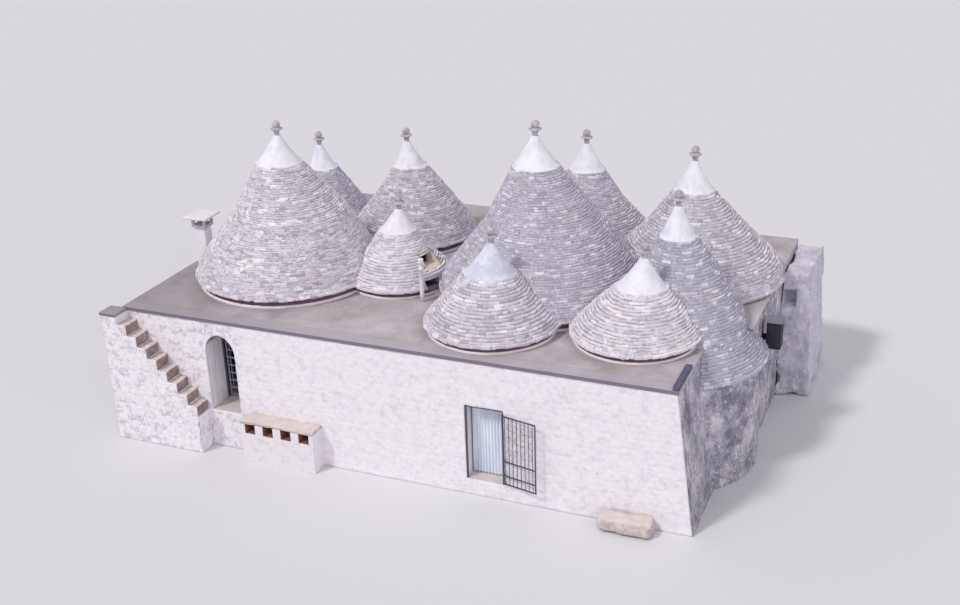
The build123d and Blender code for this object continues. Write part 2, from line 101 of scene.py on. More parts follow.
# A piece from points and faces, with whatever values its finish reads. The faces come as
# arrays of four corners each, and of three where a surface closes in a pole. It stands in
# for a CAD node where one is named.
def makePiece(name, points, faces, finish, slot, node=None, body="house", values=None, smooth=True):
    mesh = bpy.data.meshes.new(name)
    groups = faces if isinstance(faces, list) else [faces]
    corners = np.concatenate([np.full(len(group), group.shape[1]) for group in groups])
    mesh.vertices.add(len(points))
    mesh.vertices.foreach_set("co", np.asarray(points, np.float32).ravel())
    mesh.loops.add(int(corners.sum()))
    order = np.concatenate([group.ravel() for group in groups]).astype(np.int32)
    mesh.loops.foreach_set("vertex_index", order)
    mesh.polygons.add(len(corners))
    starts = np.concatenate([[0], np.cumsum(corners)[:-1]]).astype(np.int32)
    mesh.polygons.foreach_set("loop_start", starts)
    mesh.polygons.foreach_set("use_smooth", np.full(len(corners), smooth))
    mesh.update(calc_edges=True)
    for key, data in (values or {}).items():
        layer = mesh.attributes.new(key, "FLOAT", "POINT")
        layer.data.foreach_set("value", np.asarray(data, np.float32))
    mesh.materials.append(finishes[finish])
    piece = placed(name, mesh)
    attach(piece, body)
    if node:
        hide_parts(node)
    return piece


# Several surfaces as one: their points follow each other, and their faces are renumbered.
def joined(parts):
    points, groups, start = [], {}, 0
    for part, faces in parts:
        points.append(part)
        for group in (faces if isinstance(faces, list) else [faces]):
            groups.setdefault(group.shape[1], []).append(group + start)
        start += len(part)
    return np.concatenate(points), [np.concatenate(group) for group in groups.values()]


# The corner numbers of a grid's faces, for rows by columns of points. A wrapped grid joins
# its last column to its first.
def gridQuads(rows, columns, wrapped=False):
    r, c = np.meshgrid(np.arange(rows - 1), np.arange(columns if wrapped else columns - 1), indexing="ij")
    this, follow = r * columns + c, r * columns + (c + 1) % columns
    return np.stack([this, follow, follow + columns, this + columns], axis=-1).reshape(-1, 4)


# The triangles that close a tube of rows by sides points at both ends. Each end has a pole,
# and the two poles are numbered after the tube's own points.
def endFans(rows, sides):
    column = np.arange(sides)
    follow = (column + 1) % sides
    last, pole = (rows - 1) * sides, np.full(sides, rows * sides)
    return np.concatenate([np.stack([follow, column, pole], axis=-1),
                           np.stack([last + column, last + follow, pole + 1], axis=-1)])


# Normals at the points: the cross product of each face's diagonals, added up at its corners.
def pointNormals(points, quads):
    corners = points[quads]
    across = np.cross(corners[:, 2] - corners[:, 0], corners[:, 3] - corners[:, 1])
    normals = np.zeros_like(points)
    for k in range(4):
        np.add.at(normals, quads[:, k], across)
    return normals / np.maximum(np.linalg.norm(normals, axis=1, keepdims=True), 1e-12)


# The surface of a brick of nx by ny by nz cells: its points as shares from 0 to 1 along
# each axis, and its faces, which point outwards and share their points along the edges.
def brickSurface(nx, ny, nz):
    i, j, k = np.meshgrid(np.arange(nx + 1), np.arange(ny + 1), np.arange(nz + 1), indexing="ij")
    shell = (i == 0) | (i == nx) | (j == 0) | (j == ny) | (k == 0) | (k == nz)
    number = np.full(shell.shape, -1)
    number[shell] = np.arange(shell.sum())
    shares = np.stack([i[shell] / nx, j[shell] / ny, k[shell] / nz], axis=-1)

    def side(plane, flip):
        quads = np.stack([plane[:-1, :-1], plane[1:, :-1], plane[1:, 1:], plane[:-1, 1:]], axis=-1)
        return quads.reshape(-1, 4)[:, ::-1 if flip else 1]

    sides = [(number[:, :, nz], False), (number[:, :, 0], True), (number[nx], False), (number[0], True),
             (number[:, 0], False), (number[:, ny], True)]
    return shares, np.concatenate([side(*one) for one in sides])


# A lumpy block: the surface of a brick whose edges are rounded by pulling each point to
# within a radius of the inner brick, carried to its place by a mapping from shares to
# points, and then pushed in along its normals by noise. It never grows past its box.
def lumpyBlock(size, mapping, step=0.06, rounding=0.02, lumps=0.01, cell=0.25, seed=1, grain=0.0):
    size = np.array(size, float)
    shares, quads = brickSurface(*np.maximum(np.ceil(size / step).astype(int), 2))
    metric = shares * size
    inner = np.clip(metric, rounding, size - rounding)
    away = metric - inner
    reach = np.linalg.norm(away, axis=1, keepdims=True)
    metric = inner + away * (rounding / np.maximum(reach, 1e-9)) * (reach > 1e-9)
    points = mapping(metric / size)
    push = lumps * np.minimum(roughNoise(points, cell, seed) - 0.5, 0)
    if grain:
        push = push + grain * np.minimum(roughNoise(points, cell / 5, seed + 40, 2) - 0.3, 0)
    return points + pointNormals(points, quads) * push[:, None], quads


# The mapping that carries shares straight into an upright box between two corners.
def boxMapping(low, high):
    low, high = np.array(low, float), np.array(high, float)
    return lambda shares: low + shares * (high - low)


# The mapping for a block that narrows upwards: its foot and its head are each a rectangle.
def taperMapping(footLow, footHigh, headLow, headHigh, z0, z1):
    foot = np.array([footLow, footHigh], float)
    head = np.array([headLow, headHigh], float)

    def carry(shares):
        up = shares[:, 2:3]
        low = foot[0] + (head[0] - foot[0]) * up
        high = foot[1] + (head[1] - foot[1]) * up
        return np.concatenate([low + (high - low) * shares[:, :2], z0 + (z1 - z0) * up], axis=1)

    return carry


# A turned surface: rings whose radius and height follow a profile, each ring's points set
# round the axis, which leans by a share of the height. Noise changes each radius a little.
# It is closed by a pole at each end, or by joining its last ring to its first. It stands at
# a plan place, and its heights are above the terrace.
def turned(place, radii, heights, sides, wobble=0.0, cell=0.2, seed=1, lean=(0.0, 0.0), ring=False):
    radii, heights = np.asarray(radii, float), terraceTop + np.asarray(heights, float)
    centre = (houseLeft + place[0], houseFront + place[1])
    turn = np.linspace(0, 2 * math.pi, sides, endpoint=False)
    r, t = np.meshgrid(radii, turn, indexing="ij")
    z = np.repeat(heights[:, None], sides, axis=1)
    share = (z - heights.min()) / (heights.max() - heights.min())
    middle = centre[0] + lean[0] + (lean[1] - lean[0]) * share
    points = np.stack([middle + r * np.cos(t), centre[1] + r * np.sin(t), z], axis=-1).reshape(-1, 3)
    if wobble:
        fade = 0.05  # the wobble fades within this radius
        outward = np.stack([np.cos(t), np.sin(t), np.zeros_like(t)], axis=-1).reshape(-1, 3)
        strength = wobble * roughNoise(points, cell, seed) * np.minimum(1, r.ravel() / fade)
        points = points + outward * strength[:, None]
    quads = gridQuads(len(radii), sides, wrapped=True)
    if ring:
        first = np.arange(sides)
        pairs = np.stack([first, (first + 1) % sides], axis=-1)
        closing = np.concatenate([pairs + (len(radii) - 1) * sides, pairs[:, ::-1]], axis=1)
        return points, np.concatenate([quads, closing])
    poles = [[centre[0] + lean[0], centre[1], heights[0]], [centre[0] + lean[1], centre[1], heights[-1]]]
    return np.concatenate([points, poles]), [quads, endFans(len(radii), sides)]


# A rounded stone: the surface of a brick of two cells along its length and height, with its
# edges and corners drawn in, least at its ends. Every stone is this shape, stretched along
# its own three axes.
stone = {"drawnIn": (0.008, 0.04, 0.055), "jitter": 0.05}
stoneShares, stoneQuads = brickSurface(2, 1, 2)
stoneShape = stoneShares * 2 - 1
fromMiddle = np.abs(stoneShape).sum(axis=1, keepdims=True)
stoneShape = stoneShape * (1 - np.array(stone["drawnIn"]) * (fromMiddle - 1))


# Many stones as one piece. Each has a centre, three axes and three half sizes. Its points
# are its centre plus the shape along its axes, each point moved a little at random.
def layStones(name, centres, axes, halves, age, seed):
    rng = draws(seed)
    count, corners = len(centres), len(stoneShape)
    shape = stoneShape[None, :, :] * (1 + stone["jitter"] * rng.uniform(-1, 1, (count, corners, 3)))
    points = centres[:, None, :] + np.einsum("nvk,nkd->nvd", shape * halves[:, None, :], axes)
    quads = stoneQuads[None, :, :] + (np.arange(count) * corners)[:, None, None]
    values = {key: np.repeat(rng.uniform(0, 1, count), corners) for key in ("tone", "hue")}
    values["age"] = np.full(count * corners, age)
    makePiece(name, points.reshape(-1, 3), quads.reshape(-1, 4), "coneStone", "cone_stone", values=values, smooth=False)


rubbleRows = {"sway": 0.14, "swayCell": 1.3, "dip": 0.22, "dipCell": 1.1, "strayAlong": 0.34, "strayUp": 0.2}


# Rubble in rough rows. Each point finds the two nearest of the stones' middles, which stand
# one to a cell, every second row shifted by half, and stray from their cells' centres. The
# difference of the two distances is small along the joints. The nearest one gives a tone.
def rubbleField(u, v, length, height, seed):
    flat = np.stack([u, v, np.zeros_like(u)], axis=-1)
    u = (u + rubbleRows["sway"] * length * softNoise(flat, length * rubbleRows["swayCell"], seed + 5)) / length
    v = (v + rubbleRows["dip"] * height * softNoise(flat, length * rubbleRows["dipCell"], seed + 6)) / height
    nearest, second, tone = np.full(len(u), 9.0), np.full(len(u), 9.0), np.zeros(len(u))
    for up in (-1, 0, 1):
        row = np.floor(v) + up
        shifted = u + 0.5 * (row % 2)
        for along in (-1, 0, 1):
            column = np.floor(shifted) + along
            across = np.abs(shifted - column - 0.5 - rubbleRows["strayAlong"] * cellValue(seed, column, row))
            over = np.abs(v - row - 0.5 - rubbleRows["strayUp"] * cellValue(seed + 1, column, row))
            far = (across ** 3 + over ** 3) ** (1 / 3)
            closer = far < nearest
            second = np.where(closer, nearest, np.minimum(second, far))
            tone = np.where(closer, cellValue(seed + 2, column, row), tone)
            nearest = np.where(closer, far, nearest)
    return second - nearest, tone


# A sheet closed against the face under it: each edge that belongs to one face only gets a
# strip back to that face. Points that no face uses are dropped, and the rest renumbered.
def closedSheet(points, under, quads, values):
    edges = np.stack([quads, np.roll(quads, -1, axis=1)], axis=-1).reshape(-1, 2)
    key = edges.min(axis=1) * len(points) + edges.max(axis=1)
    _, first, times = np.unique(key, return_index=True, return_counts=True)
    rim = edges[first[times == 1]]
    edgePoints = np.unique(rim)
    back = np.zeros(len(points), int)
    back[edgePoints] = len(points) + np.arange(len(edgePoints))
    strips = np.stack([rim[:, 1], rim[:, 0], back[rim[:, 0]], back[rim[:, 1]]], axis=-1)
    allPoints, allQuads = np.concatenate([points, under[edgePoints]]), np.concatenate([quads, strips])
    used = np.unique(allQuads)
    number = np.zeros(len(allPoints), int)
    number[used] = np.arange(len(used))
    kept = {key: np.concatenate([data, data[edgePoints]])[used] for key, data in values.items()}
    return allPoints[used], number[allQuads], kept


skin = {"least": 0.002, "under": 0.004, "lumpCell": 0.35, "calmReach": 0.1}


# A skin of rubble over a face: a grid of points on the face, pushed out by a lift, by the
# stones' bulge away from their joints, by each stone's own share and by noise. The rubble is
# laid by a place along the face and by the height. Towards an edge where the skin meets its
# neighbour round a corner the push fades to a set edge height, and there the points move
# along both faces' outward directions, so that the two skins join.
def rubbleSkin(base, outward, along, look, seed, meets=(None, None), keep=None):
    flat = base.reshape(-1, 3)
    gap, tone = rubbleField(along.ravel(), flat[:, 2], look["length"], look["height"], seed)
    body = eased(np.clip(gap / look["joint"], 0, 1))
    push = look["lift"] + look["relief"] * (body * (0.75 + 0.25 * tone))
    push = push + look["lumps"] * roughNoise(flat, skin["lumpCell"], seed + 11)
    push = np.maximum(push, skin["least"]).reshape(along.shape)
    outward = np.array(np.broadcast_to(np.asarray(outward, float), base.shape))
    for column, neighbour in zip((0, -1), meets):
        if neighbour is not None:
            away = np.linalg.norm(base - base[:, column][:, None], axis=2)
            push = look["edge"] + (push - look["edge"]) * np.clip(away / skin["calmReach"], 0, 1)
            outward[:, column] += neighbour
    points, under = base + outward * push[:, :, None], base - outward * skin["under"]
    for surface in (points, under):
        surface[:, :, 2] = np.maximum(surface[:, :, 2], 0)
    quads = gridQuads(*along.shape)
    if keep is not None:
        quads = quads[keep(flat[quads].mean(axis=1))]
    corners = flat[quads]
    across = np.cross(corners[:, 2] - corners[:, 0], corners[:, 3] - corners[:, 1])
    if (across * outward.reshape(-1, 3)[quads[:, 0]]).sum() < 0:
        quads = quads[:, ::-1]
    values = {"tone": tone * 0.5 + 0.5, "joint": 1 - body}
    return closedSheet(points.reshape(-1, 3), under.reshape(-1, 3), quads, values)


# Even lines a step apart that also pass through each mark.
def lines(marks, step=0.04):
    counts = [max(int(round((b - a) / step)), 1) for a, b in zip(marks, marks[1:])]
    parts = [np.linspace(a, b, n, endpoint=False) for a, b, n in zip(marks, marks[1:], counts)]
    return np.concatenate(parts + [marks[-1:]])


# One piece from several skins, with the values that its finish reads.
def skinPiece(name, skins, finish, slot):
    values = {key: np.concatenate([part[2][key] for part in skins]) for key in skins[0][2]}
    makePiece(name, *joined([part[:2] for part in skins]), finish, slot, values=values)


# Colours are written as the eye sees them, from 0 to 255, and turned into light.
def colour(levels):
    shares = [level / 255 for level in levels]
    return tuple(share / 12.92 if share <= 0.04045 else ((share + 0.055) / 1.055) ** 2.4 for share in shares)


# Shader values that take part in ordinary expressions: adding two of them, or one and a
# number, adds a Math node. Colours and vectors go through Mix and Vector Math instead.
class Signal:
    def __init__(self, finish, socket):
        self.finish, self.socket = finish, socket

    def maths(self, operation, first, second, clamp=False):
        settings = {"operation": operation, "use_clamp": clamp}
        return self.finish.node("ShaderNodeMath", settings, {0: first, 1: second})

    def __add__(self, other):
        return self.maths("ADD", self, other)

    def __sub__(self, other):
        return self.maths("SUBTRACT", self, other)

    def __rsub__(self, other):
        return self.maths("SUBTRACT", other, self)

    def __mul__(self, other):
        return self.maths("MULTIPLY", self, other)

    __radd__, __rmul__ = __add__, __mul__

    def held(self):
        return self.maths("ADD", self, 0.0, clamp=True)

    # A soft step: 0 below the low value, 1 above the high one.
    def step(self, low, high):
        settings = {"interpolation_type": "SMOOTHSTEP"}
        return self.finish.node("ShaderNodeMapRange", settings, {"Value": self, "From Min": low, "From Max": high})


# One finish: a Principled shader and the nodes that feed it.
class Finish:
    def __init__(self, name, roughness, specular):
        self.material = bpy.data.materials.new(name)
        self.material.use_nodes = True
        self.nodes, self.links = self.material.node_tree.nodes, self.material.node_tree.links
        self.nodes.clear()
        output = self.nodes.new("ShaderNodeOutputMaterial")
        self.shader = self.nodes.new("ShaderNodeBsdfPrincipled")
        self.links.new(self.shader.outputs[0], output.inputs["Surface"])
        self.feed(self.shader.inputs["Roughness"], roughness)
        self.feed(self.shader.inputs["Specular IOR Level"], specular)

    # Any node: its settings are set first, then its inputs' values or links.
    def node(self, kind, settings, inputs, output=0):
        made = self.nodes.new(kind)
        for key, value in settings.items():
            if key == "stops":
                ramp = made.color_ramp
                while len(ramp.elements) < len(value):
                    ramp.elements.new(0.5)
                for element, (place, levels) in zip(ramp.elements, value.items()):
                    element.position = place
                    element.color = (*colour(levels), 1)
            else:
                setattr(made, key, value)
        for key, value in inputs.items():
            self.feed(made.inputs[key], value)
        return Signal(self, made.outputs[output])

    def feed(self, socket, value):
        if isinstance(value, Signal):
            self.links.new(value.socket, socket)
        else:
            socket.default_value = (*colour(value), 1) if socket.type == "RGBA" else value

    def places(self):
        return self.node("ShaderNodeTexCoord", {}, {}, "Object")

    def stretched(self, scale, turn=(0.0, 0.0, 0.0)):
        return self.node("ShaderNodeMapping", {}, {"Vector": self.places(), "Rotation": turn, "Scale": scale})

    def noise(self, scale, detail=4.0, roughness=0.55, where=None):
        inputs = {"Vector": where or self.places(), "Scale": scale, "Detail": detail, "Roughness": roughness}
        return self.node("ShaderNodeTexNoise", {}, inputs)

    def value(self, key):
        return self.node("ShaderNodeAttribute", {"attribute_name": key}, {}, "Fac")

    def ramp(self, signal, stops):
        return self.node("ShaderNodeValToRGB", {"stops": stops}, {"Fac": signal})

    def mix(self, share, first, second):
        return self.node("ShaderNodeMix", {"data_type": "RGBA"}, {0: share, 6: first, 7: second}, 2)

    def along(self, axis):
        return self.node("ShaderNodeSeparateXYZ", {}, {"Vector": self.places()}, axis)

    # 1 between two places along an axis, with soft ends.
    def between(self, axis, low, high, soft):
        return self.along(axis).step(low, low + soft) * self.along(axis).step(high, high - soft)

    def facing(self, axis):
        geometry = self.node("ShaderNodeNewGeometry", {}, {}, "Normal")
        return self.node("ShaderNodeSeparateXYZ", {}, {"Vector": geometry}, axis)

    def bump(self, height, strength, distance):
        bumped = self.node("ShaderNodeBump", {}, {"Height": height, "Strength": strength, "Distance": distance})
        self.feed(self.shader.inputs["Normal"], bumped)

    # The start of most finishes: a broad noise between a few tones, and a fine one that adds
    # to its relief. It gives back the tones and both noises.
    def blotched(self, broad, fine, relief, stops):
        broad, fine = self.noise(*broad), self.noise(*fine)
        self.bump(broad + fine, *relief)
        return self.ramp(broad, stops), broad, fine

    # The base colour: a first tone, then coats, each a share and the colour that it brings.
    def paint(self, tone, *coats, roughness=None):
        for share, coat in coats:
            tone = self.mix(share, tone, coat)
        self.feed(self.shader.inputs["Base Color"], tone)
        if roughness is not None:
            self.feed(self.shader.inputs["Roughness"], roughness)
        return self.material


# Dry limestone of the cones: each stone has a tone and a hue of its own, each cone a share
# of grey with age, under lichen patches and a fine grain.
def coneStoneFinish():
    f = Finish("coneStone", 0.95, 0.15)
    tone, hue, age = f.value("tone"), f.value("hue"), f.value("age")
    lichen, speckle, grain = f.noise(1.7, 6.0, 0.62), f.noise(13.0, 5.0, 0.7), f.noise(60.0, 4.0, 0.7)
    base = f.ramp(tone, {0.0: (182, 175, 187), 0.14: (211, 205, 214), 0.5: (230, 225, 232),
                         0.86: (239, 235, 241), 0.93: (252, 250, 252), 1.0: (255, 255, 255)})
    f.bump(grain + speckle * 1.5, 0.5, 0.007)
    return f.paint(base, (age.step(0.04, 0.0) * 0.3, (252, 249, 253)),
                   (hue.step(0.72, 1.0) * 0.4, (234, 216, 217)), (hue.step(0.3, 0.0) * 0.45, (206, 207, 228)),
                   (age * (0.25 + 0.75 * tone.step(1.0, 0.7)), (172, 172, 190)),
                   (lichen.step(0.48, 0.68) * (0.2 + 0.35 * age), (190, 184, 191)),
                   (speckle.step(0.46, 0.34) * 0.55, (176, 170, 182)),
                   (speckle.step(0.56, 0.66) * 0.65, (255, 252, 255)), (grain.step(0.35, 0.2) * 0.2, (170, 163, 171)))


# The rubble and dust behind the stones of the cones; faces that look down, under the eaves, are painted dark as shade.
def coneJointFinish():
    f = Finish("coneJoint", 1.0, 0.05)
    dust = f.noise(18.0, 5.0, 0.7)
    f.bump(dust, 0.8, 0.02)
    # Downward faces take a dark mauve: painted shade under the eaves.
    return f.paint(f.ramp(dust, {0.3: (156, 150, 158), 0.7: (190, 183, 191)}),
                   (f.facing("Z").step(-0.3, -0.7), (92, 82, 96)))


# Limewash on the caps: white, with grey runs and soiled patches. The front middle cone's cap
# is greyer than the rest.
def capFinish(greyLow, greyHigh):
    f = Finish("capPlaster", 0.85, 0.2)
    runs, stain = f.noise(5.0, 6.0, 0.6, f.stretched((1.0, 1.0, 0.16))), f.noise(2.6, 5.0, 0.6)
    greyCap = f.between("X", greyLow.x, greyHigh.x, 0.05) * f.along("Y").step(greyHigh.y, greyHigh.y - 0.05)
    f.bump(f.noise(22.0, 5.0) + stain, 0.35, 0.01)
    return f.paint((243, 242, 249), (runs.step(0.45, 0.7) * 0.5, (208, 210, 228)),
                   (greyCap * (0.35 + 0.6 * stain.step(0.38, 0.58)), (208, 210, 231)),
                   (stain.step(0.5, 0.75) * 0.45, (212, 206, 216)))


# Weathered dressed stone of the finials and the chimney's head.
def dressedFinish():
    f = Finish("dressedStone", 0.92, 0.2)
    base, _, spots = f.blotched((7.0, 6.0, 0.65), (24.0, 4.0, 0.6), (0.5, 0.008),
                                {0.3: (156, 151, 161), 0.5: (190, 185, 194), 0.72: (220, 216, 223)})
    return f.paint(base, (spots.step(0.56, 0.68) * 0.45, (122, 116, 126)))


# What every limewash has: relief, wear and smaller patches.
def washWear(f, strength, distance):
    wear = f.noise(3.2, 6.0, 0.62)
    f.bump(f.noise(30.0, 5.0, 0.6) + wear, strength, distance)
    return wear, f.noise(11.0, 4.0, 0.6)


# Limewash over rubble walls: the skins carry a tone for each stone and a value along the
# joints. Stones that have lost their wash and small spots show through, most of them on the
# stair's side of the arch.
def rubbleWashFinish(bareEnd):
    f = Finish("rubbleWash", 0.9, 0.15)
    wear, patch = washWear(f, 0.5, 0.01)
    spot, tinge = f.noise(5.2, 3.0, 0.55), f.noise(1.6, 4.0, 0.6)
    stairSide = f.along("X").step(bareEnd + 0.3, bareEnd) * f.facing("X").step(-0.9, -0.6)
    bareness = f.value("tone").step(0.72, 0.86) * (0.3 + 0.7 * stairSide) * patch.step(0.44, 0.58)
    mark = f.mix(tinge.step(0.44, 0.58), (188, 186, 204), (204, 190, 190))
    return f.paint((243, 239, 245), (wear.step(0.45, 0.72) * 0.5, (226, 219, 226)),
                   (f.value("joint").step(0.4, 1.0) * (0.14 + 0.2 * stairSide), (206, 197, 203)),
                   (spot.step(0.54, 0.64) * (0.22 + 0.36 * stairSide), mark), (bareness * 0.7, mark),
                   (wear.step(0.64, 0.74) * 0.5, (200, 190, 197)))


# Plain limewash of the smoother faces.
def limewashFinish():
    f = Finish("limewash", 0.9, 0.15)
    wear, patch = washWear(f, 0.4, 0.008)
    return f.paint((240, 236, 242), (wear.step(0.45, 0.72) * 0.5, (222, 215, 222)),
                   (wear.step(0.6, 0.74) * patch.step(0.52, 0.62) * 0.5, (196, 188, 195)))


# Smooth grey plaster of the doorways' cheeks, streaked on the slant; faces that look down, as the soffits do, are
# painted dark brown as shade.
def revealFinish():
    f = Finish("revealPlaster", 0.88, 0.2)
    slant = f.stretched((1.0, 5.0, 0.8), (0.9, 0.0, 0.0))
    base = f.blotched((2.2, 5.0, 0.6, slant), (24.0, 4.0), (0.3, 0.006),
                      {0.35: (222, 218, 226), 0.55: (242, 239, 244), 0.75: (252, 250, 253)})[0]
    # Downward faces take a dark brown: painted shade on the soffits.
    return f.paint(base, (f.facing("Z").step(-0.2, -0.6), (132, 114, 120)))


# The bench: limewash outside, brick and earth inside its niches.
def benchFinish(low, high):
    f = Finish("benchWash", 0.92, 0.15)
    wear = f.noise(6.0, 6.0, 0.62)
    brick = f.ramp(f.noise(16.0, 4.0, 0.6), {0.35: (120, 84, 74), 0.65: (168, 120, 104)})
    inside = f.along("Y").step(low.y + 0.006, low.y + 0.03) * f.between("X", low.x + 0.03, high.x - 0.03, 0.02)
    f.bump(f.noise(28.0, 5.0) + wear, 0.4, 0.008)
    return f.paint((236, 231, 237), (wear.step(0.45, 0.7) * 0.6, (210, 202, 208)), (inside, brick))


# Bare plaster and rubble of the right flank, paler on the rear mass.
def roughPlasterFinish(rearStart):
    f = Finish("roughPlaster", 0.96, 0.1)
    wide, fine = f.noise(1.3, 6.0, 0.62), f.noise(12.0, 5.0, 0.65)
    runs = f.noise(3.0, 5.0, 0.6, f.stretched((1.0, 1.0, 0.25)))
    crack = f.noise(2.1, 7.0, 0.72, f.stretched((1.0, 1.0, 0.55)))
    flank = f.along("Y").step(rearStart + 0.4, rearStart)
    seams = crack.step(0.465, 0.49) * crack.step(0.525, 0.5)
    f.bump(fine + crack + wide, 0.9, 0.035)
    return f.paint(f.ramp(wide, {0.34: (138, 134, 147), 0.5: (184, 180, 192), 0.66: (222, 218, 227)}),
                   (runs.step(0.5, 0.7) * 0.35, (136, 132, 146)), ((1 - flank) * 0.66, (224, 220, 232)),
                   (f.noise(5.0, 5.0, 0.65).step(0.54, 0.64) * 0.6, (240, 236, 242)),
                   (seams * (0.15 + 0.45 * flank), (96, 92, 112)),
                   (fine.step(0.56, 0.68) * (0.25 + 0.25 * flank), (124, 118, 131)))


# Cement of the terrace: darker towards its left end, with a smoother bluish strip along the front and a dark line
# behind the strip. Faces that look to the front are painted dark as the shade of its thin front edge.
def terraceFinish(frontEdge, stripWidth, leftEnd):
    f = Finish("terraceCement", 0.93, 0.2)
    wide, fine, grit = f.noise(0.9, 7.0, 0.62), f.noise(9.0, 6.0, 0.65), f.noise(70.0, 3.0, 0.6)
    wander = f.along("Y") + (fine - 0.5) * 0.05
    strip = wander.step(frontEdge + stripWidth + 0.02, frontEdge + stripWidth - 0.02)
    line = strip * (1 - strip) * 4
    f.bump(grit * 0.5 + fine, 0.5, 0.01)
    # The last coat is painted shade on the faces that look to the front.
    return f.paint(f.ramp(wide, {0.32: (166, 157, 160), 0.5: (188, 180, 184), 0.68: (206, 198, 203)}),
                   (fine.step(0.52, 0.7) * 0.3, (158, 149, 150)),
                   (strip * 0.6, f.mix(fine, (170, 164, 172), (194, 188, 195))),
                   (f.along("X").step(leftEnd + 6.0, leftEnd + 1.0) * 0.5, (150, 142, 148)),
                   (line.held() * 0.5, (140, 132, 138)), (f.facing("Y").step(-0.5, -0.9) * 0.8, (112, 104, 122)))


wornGrain = ((5.0, 6.0, 0.6), (28.0, 5.0, 0.65), (0.5, 0.008))


# Worn stone of the seat and of the floors; faces that look up are painted lighter as the light that falls on them.
def wornStoneFinish():
    f = Finish("wornStone", 0.85, 0.25)
    base, _, fine = f.blotched(*wornGrain, {0.3: (176, 164, 163), 0.55: (208, 197, 194), 0.75: (230, 222, 219)})
    # Upward faces take a paler cream: painted light on the tops.
    return f.paint(base, (f.facing("Z").step(0.4, 0.8) * 0.6, (229, 219, 214)),
                   (fine.step(0.6, 0.75) * 0.3, (154, 140, 138)))


# The stair's steps: faces that look up are painted cream as lit tops, and the risers and other faces brown as painted
# shade.
def stepFinish():
    f = Finish("stepStone", 0.88, 0.2)
    riser, blotch, fine = f.blotched(*wornGrain, {0.3: (132, 112, 114), 0.55: (160, 140, 140), 0.75: (186, 168, 166)})
    top = f.ramp(blotch, {0.3: (206, 194, 188), 0.7: (230, 221, 215)})
    # The brown ramp is painted shade on the risers, and the cream one is painted light on the tops.
    return f.paint(riser, (f.facing("Z").step(0.45, 0.75), top), (fine.step(0.62, 0.76) * 0.3, (140, 126, 126)))


# Aged iron: blue-grey paint, dull, with rust where it has worn through.
def ironFinish(name, dark, pale):
    f = Finish(name, 0.6, 0.5)
    rust, shade = f.noise(16.0, 6.0, 0.7).step(0.56, 0.68), f.noise(40.0, 3.0, 0.5)
    f.bump(rust + shade * 0.4, 0.4, 0.002)
    return f.paint(f.ramp(shade, {0.3: dark, 0.7: pale}), (rust * 0.6, (112, 72, 52)), roughness=0.55 + rust * 0.35)


# Thin white cotton with a faint blue cast and soft stripes along its drop.
def curtainFinish():
    f = Finish("curtainCloth", 0.85, 0.15)
    f.feed(f.shader.inputs["Sheen Weight"], 0.3)
    weave = f.noise(220.0, 2.0, 0.5, f.stretched((1.0, 1.0, 0.3)))
    broad = f.noise(4.0, 3.0, 0.5, f.stretched((1.0, 1.0, 0.2)))
    f.bump(weave, 0.3, 0.002)
    return f.paint((222, 231, 248), (broad.step(0.35, 0.65), (247, 249, 253)), (weave * 0.12, (196, 208, 232)))


# Pale pinkish plaster of the rings under the eaves, painted dark in its upper part as the eave's shadow.
def footingFinish():
    f = Finish("footingPlaster", 0.92, 0.15)
    base = f.blotched((4.0, 6.0, 0.65), (26.0, 4.0), (0.4, 0.008),
                      {0.3: (238, 226, 230), 0.5: (250, 241, 244), 0.7: (255, 250, 252)})[0]
    # The marked upper rows take a dark mauve: the painted shadow of the eave.
    return f.paint(base, (f.value("damp"), (122, 98, 116)))


# Beige plaster inside the small cone's window, painted dark towards the room as the shade deep in the opening.
def windowPlasterFinish(inner, outer):
    f = Finish("windowPlaster", 0.9, 0.15)
    base = f.blotched((9.0, 5.0, 0.6), (40.0, 4.0), (0.3, 0.005),
                      {0.35: (212, 198, 188), 0.6: (238, 226, 214), 0.75: (246, 236, 228)})[0]
    # Towards the room the plaster turns near black: painted shade deep in the window.
    return f.paint(base, (f.along("X").step(outer, inner), (52, 40, 50)))


# Bluish grey cement of the kerb.
def kerbFinish():
    f = Finish("kerbCement", 0.9, 0.2)
    return f.paint(f.blotched((8.0, 6.0, 0.65), (50.0, 3.0), (0.5, 0.006),
                              {0.3: (82, 80, 108), 0.6: (110, 107, 134), 0.75: (140, 137, 158)})[0])


# Enamel and sheet metal: one base colour, worn or dusty in patches.
def paintedMetalFinish(name, base, worn, roughness=0.5):
    f = Finish(name, roughness, 0.4)
    wear = f.noise(14.0, 5.0, 0.65)
    f.bump(wear, 0.2, 0.002)
    return f.paint(base, (wear.step(0.55, 0.75) * 0.6, worn), roughness=roughness + wear * 0.2)


# Where finishes change: plan places, and the shares of the window's depth between which its painted shade sets in.
finishPlaces = {"bareWall": 3.6, "terraceStrip": 0.4, "windowShade": (0.5, 0.62)}
windowEnds = [corner.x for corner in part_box("window_surround")]
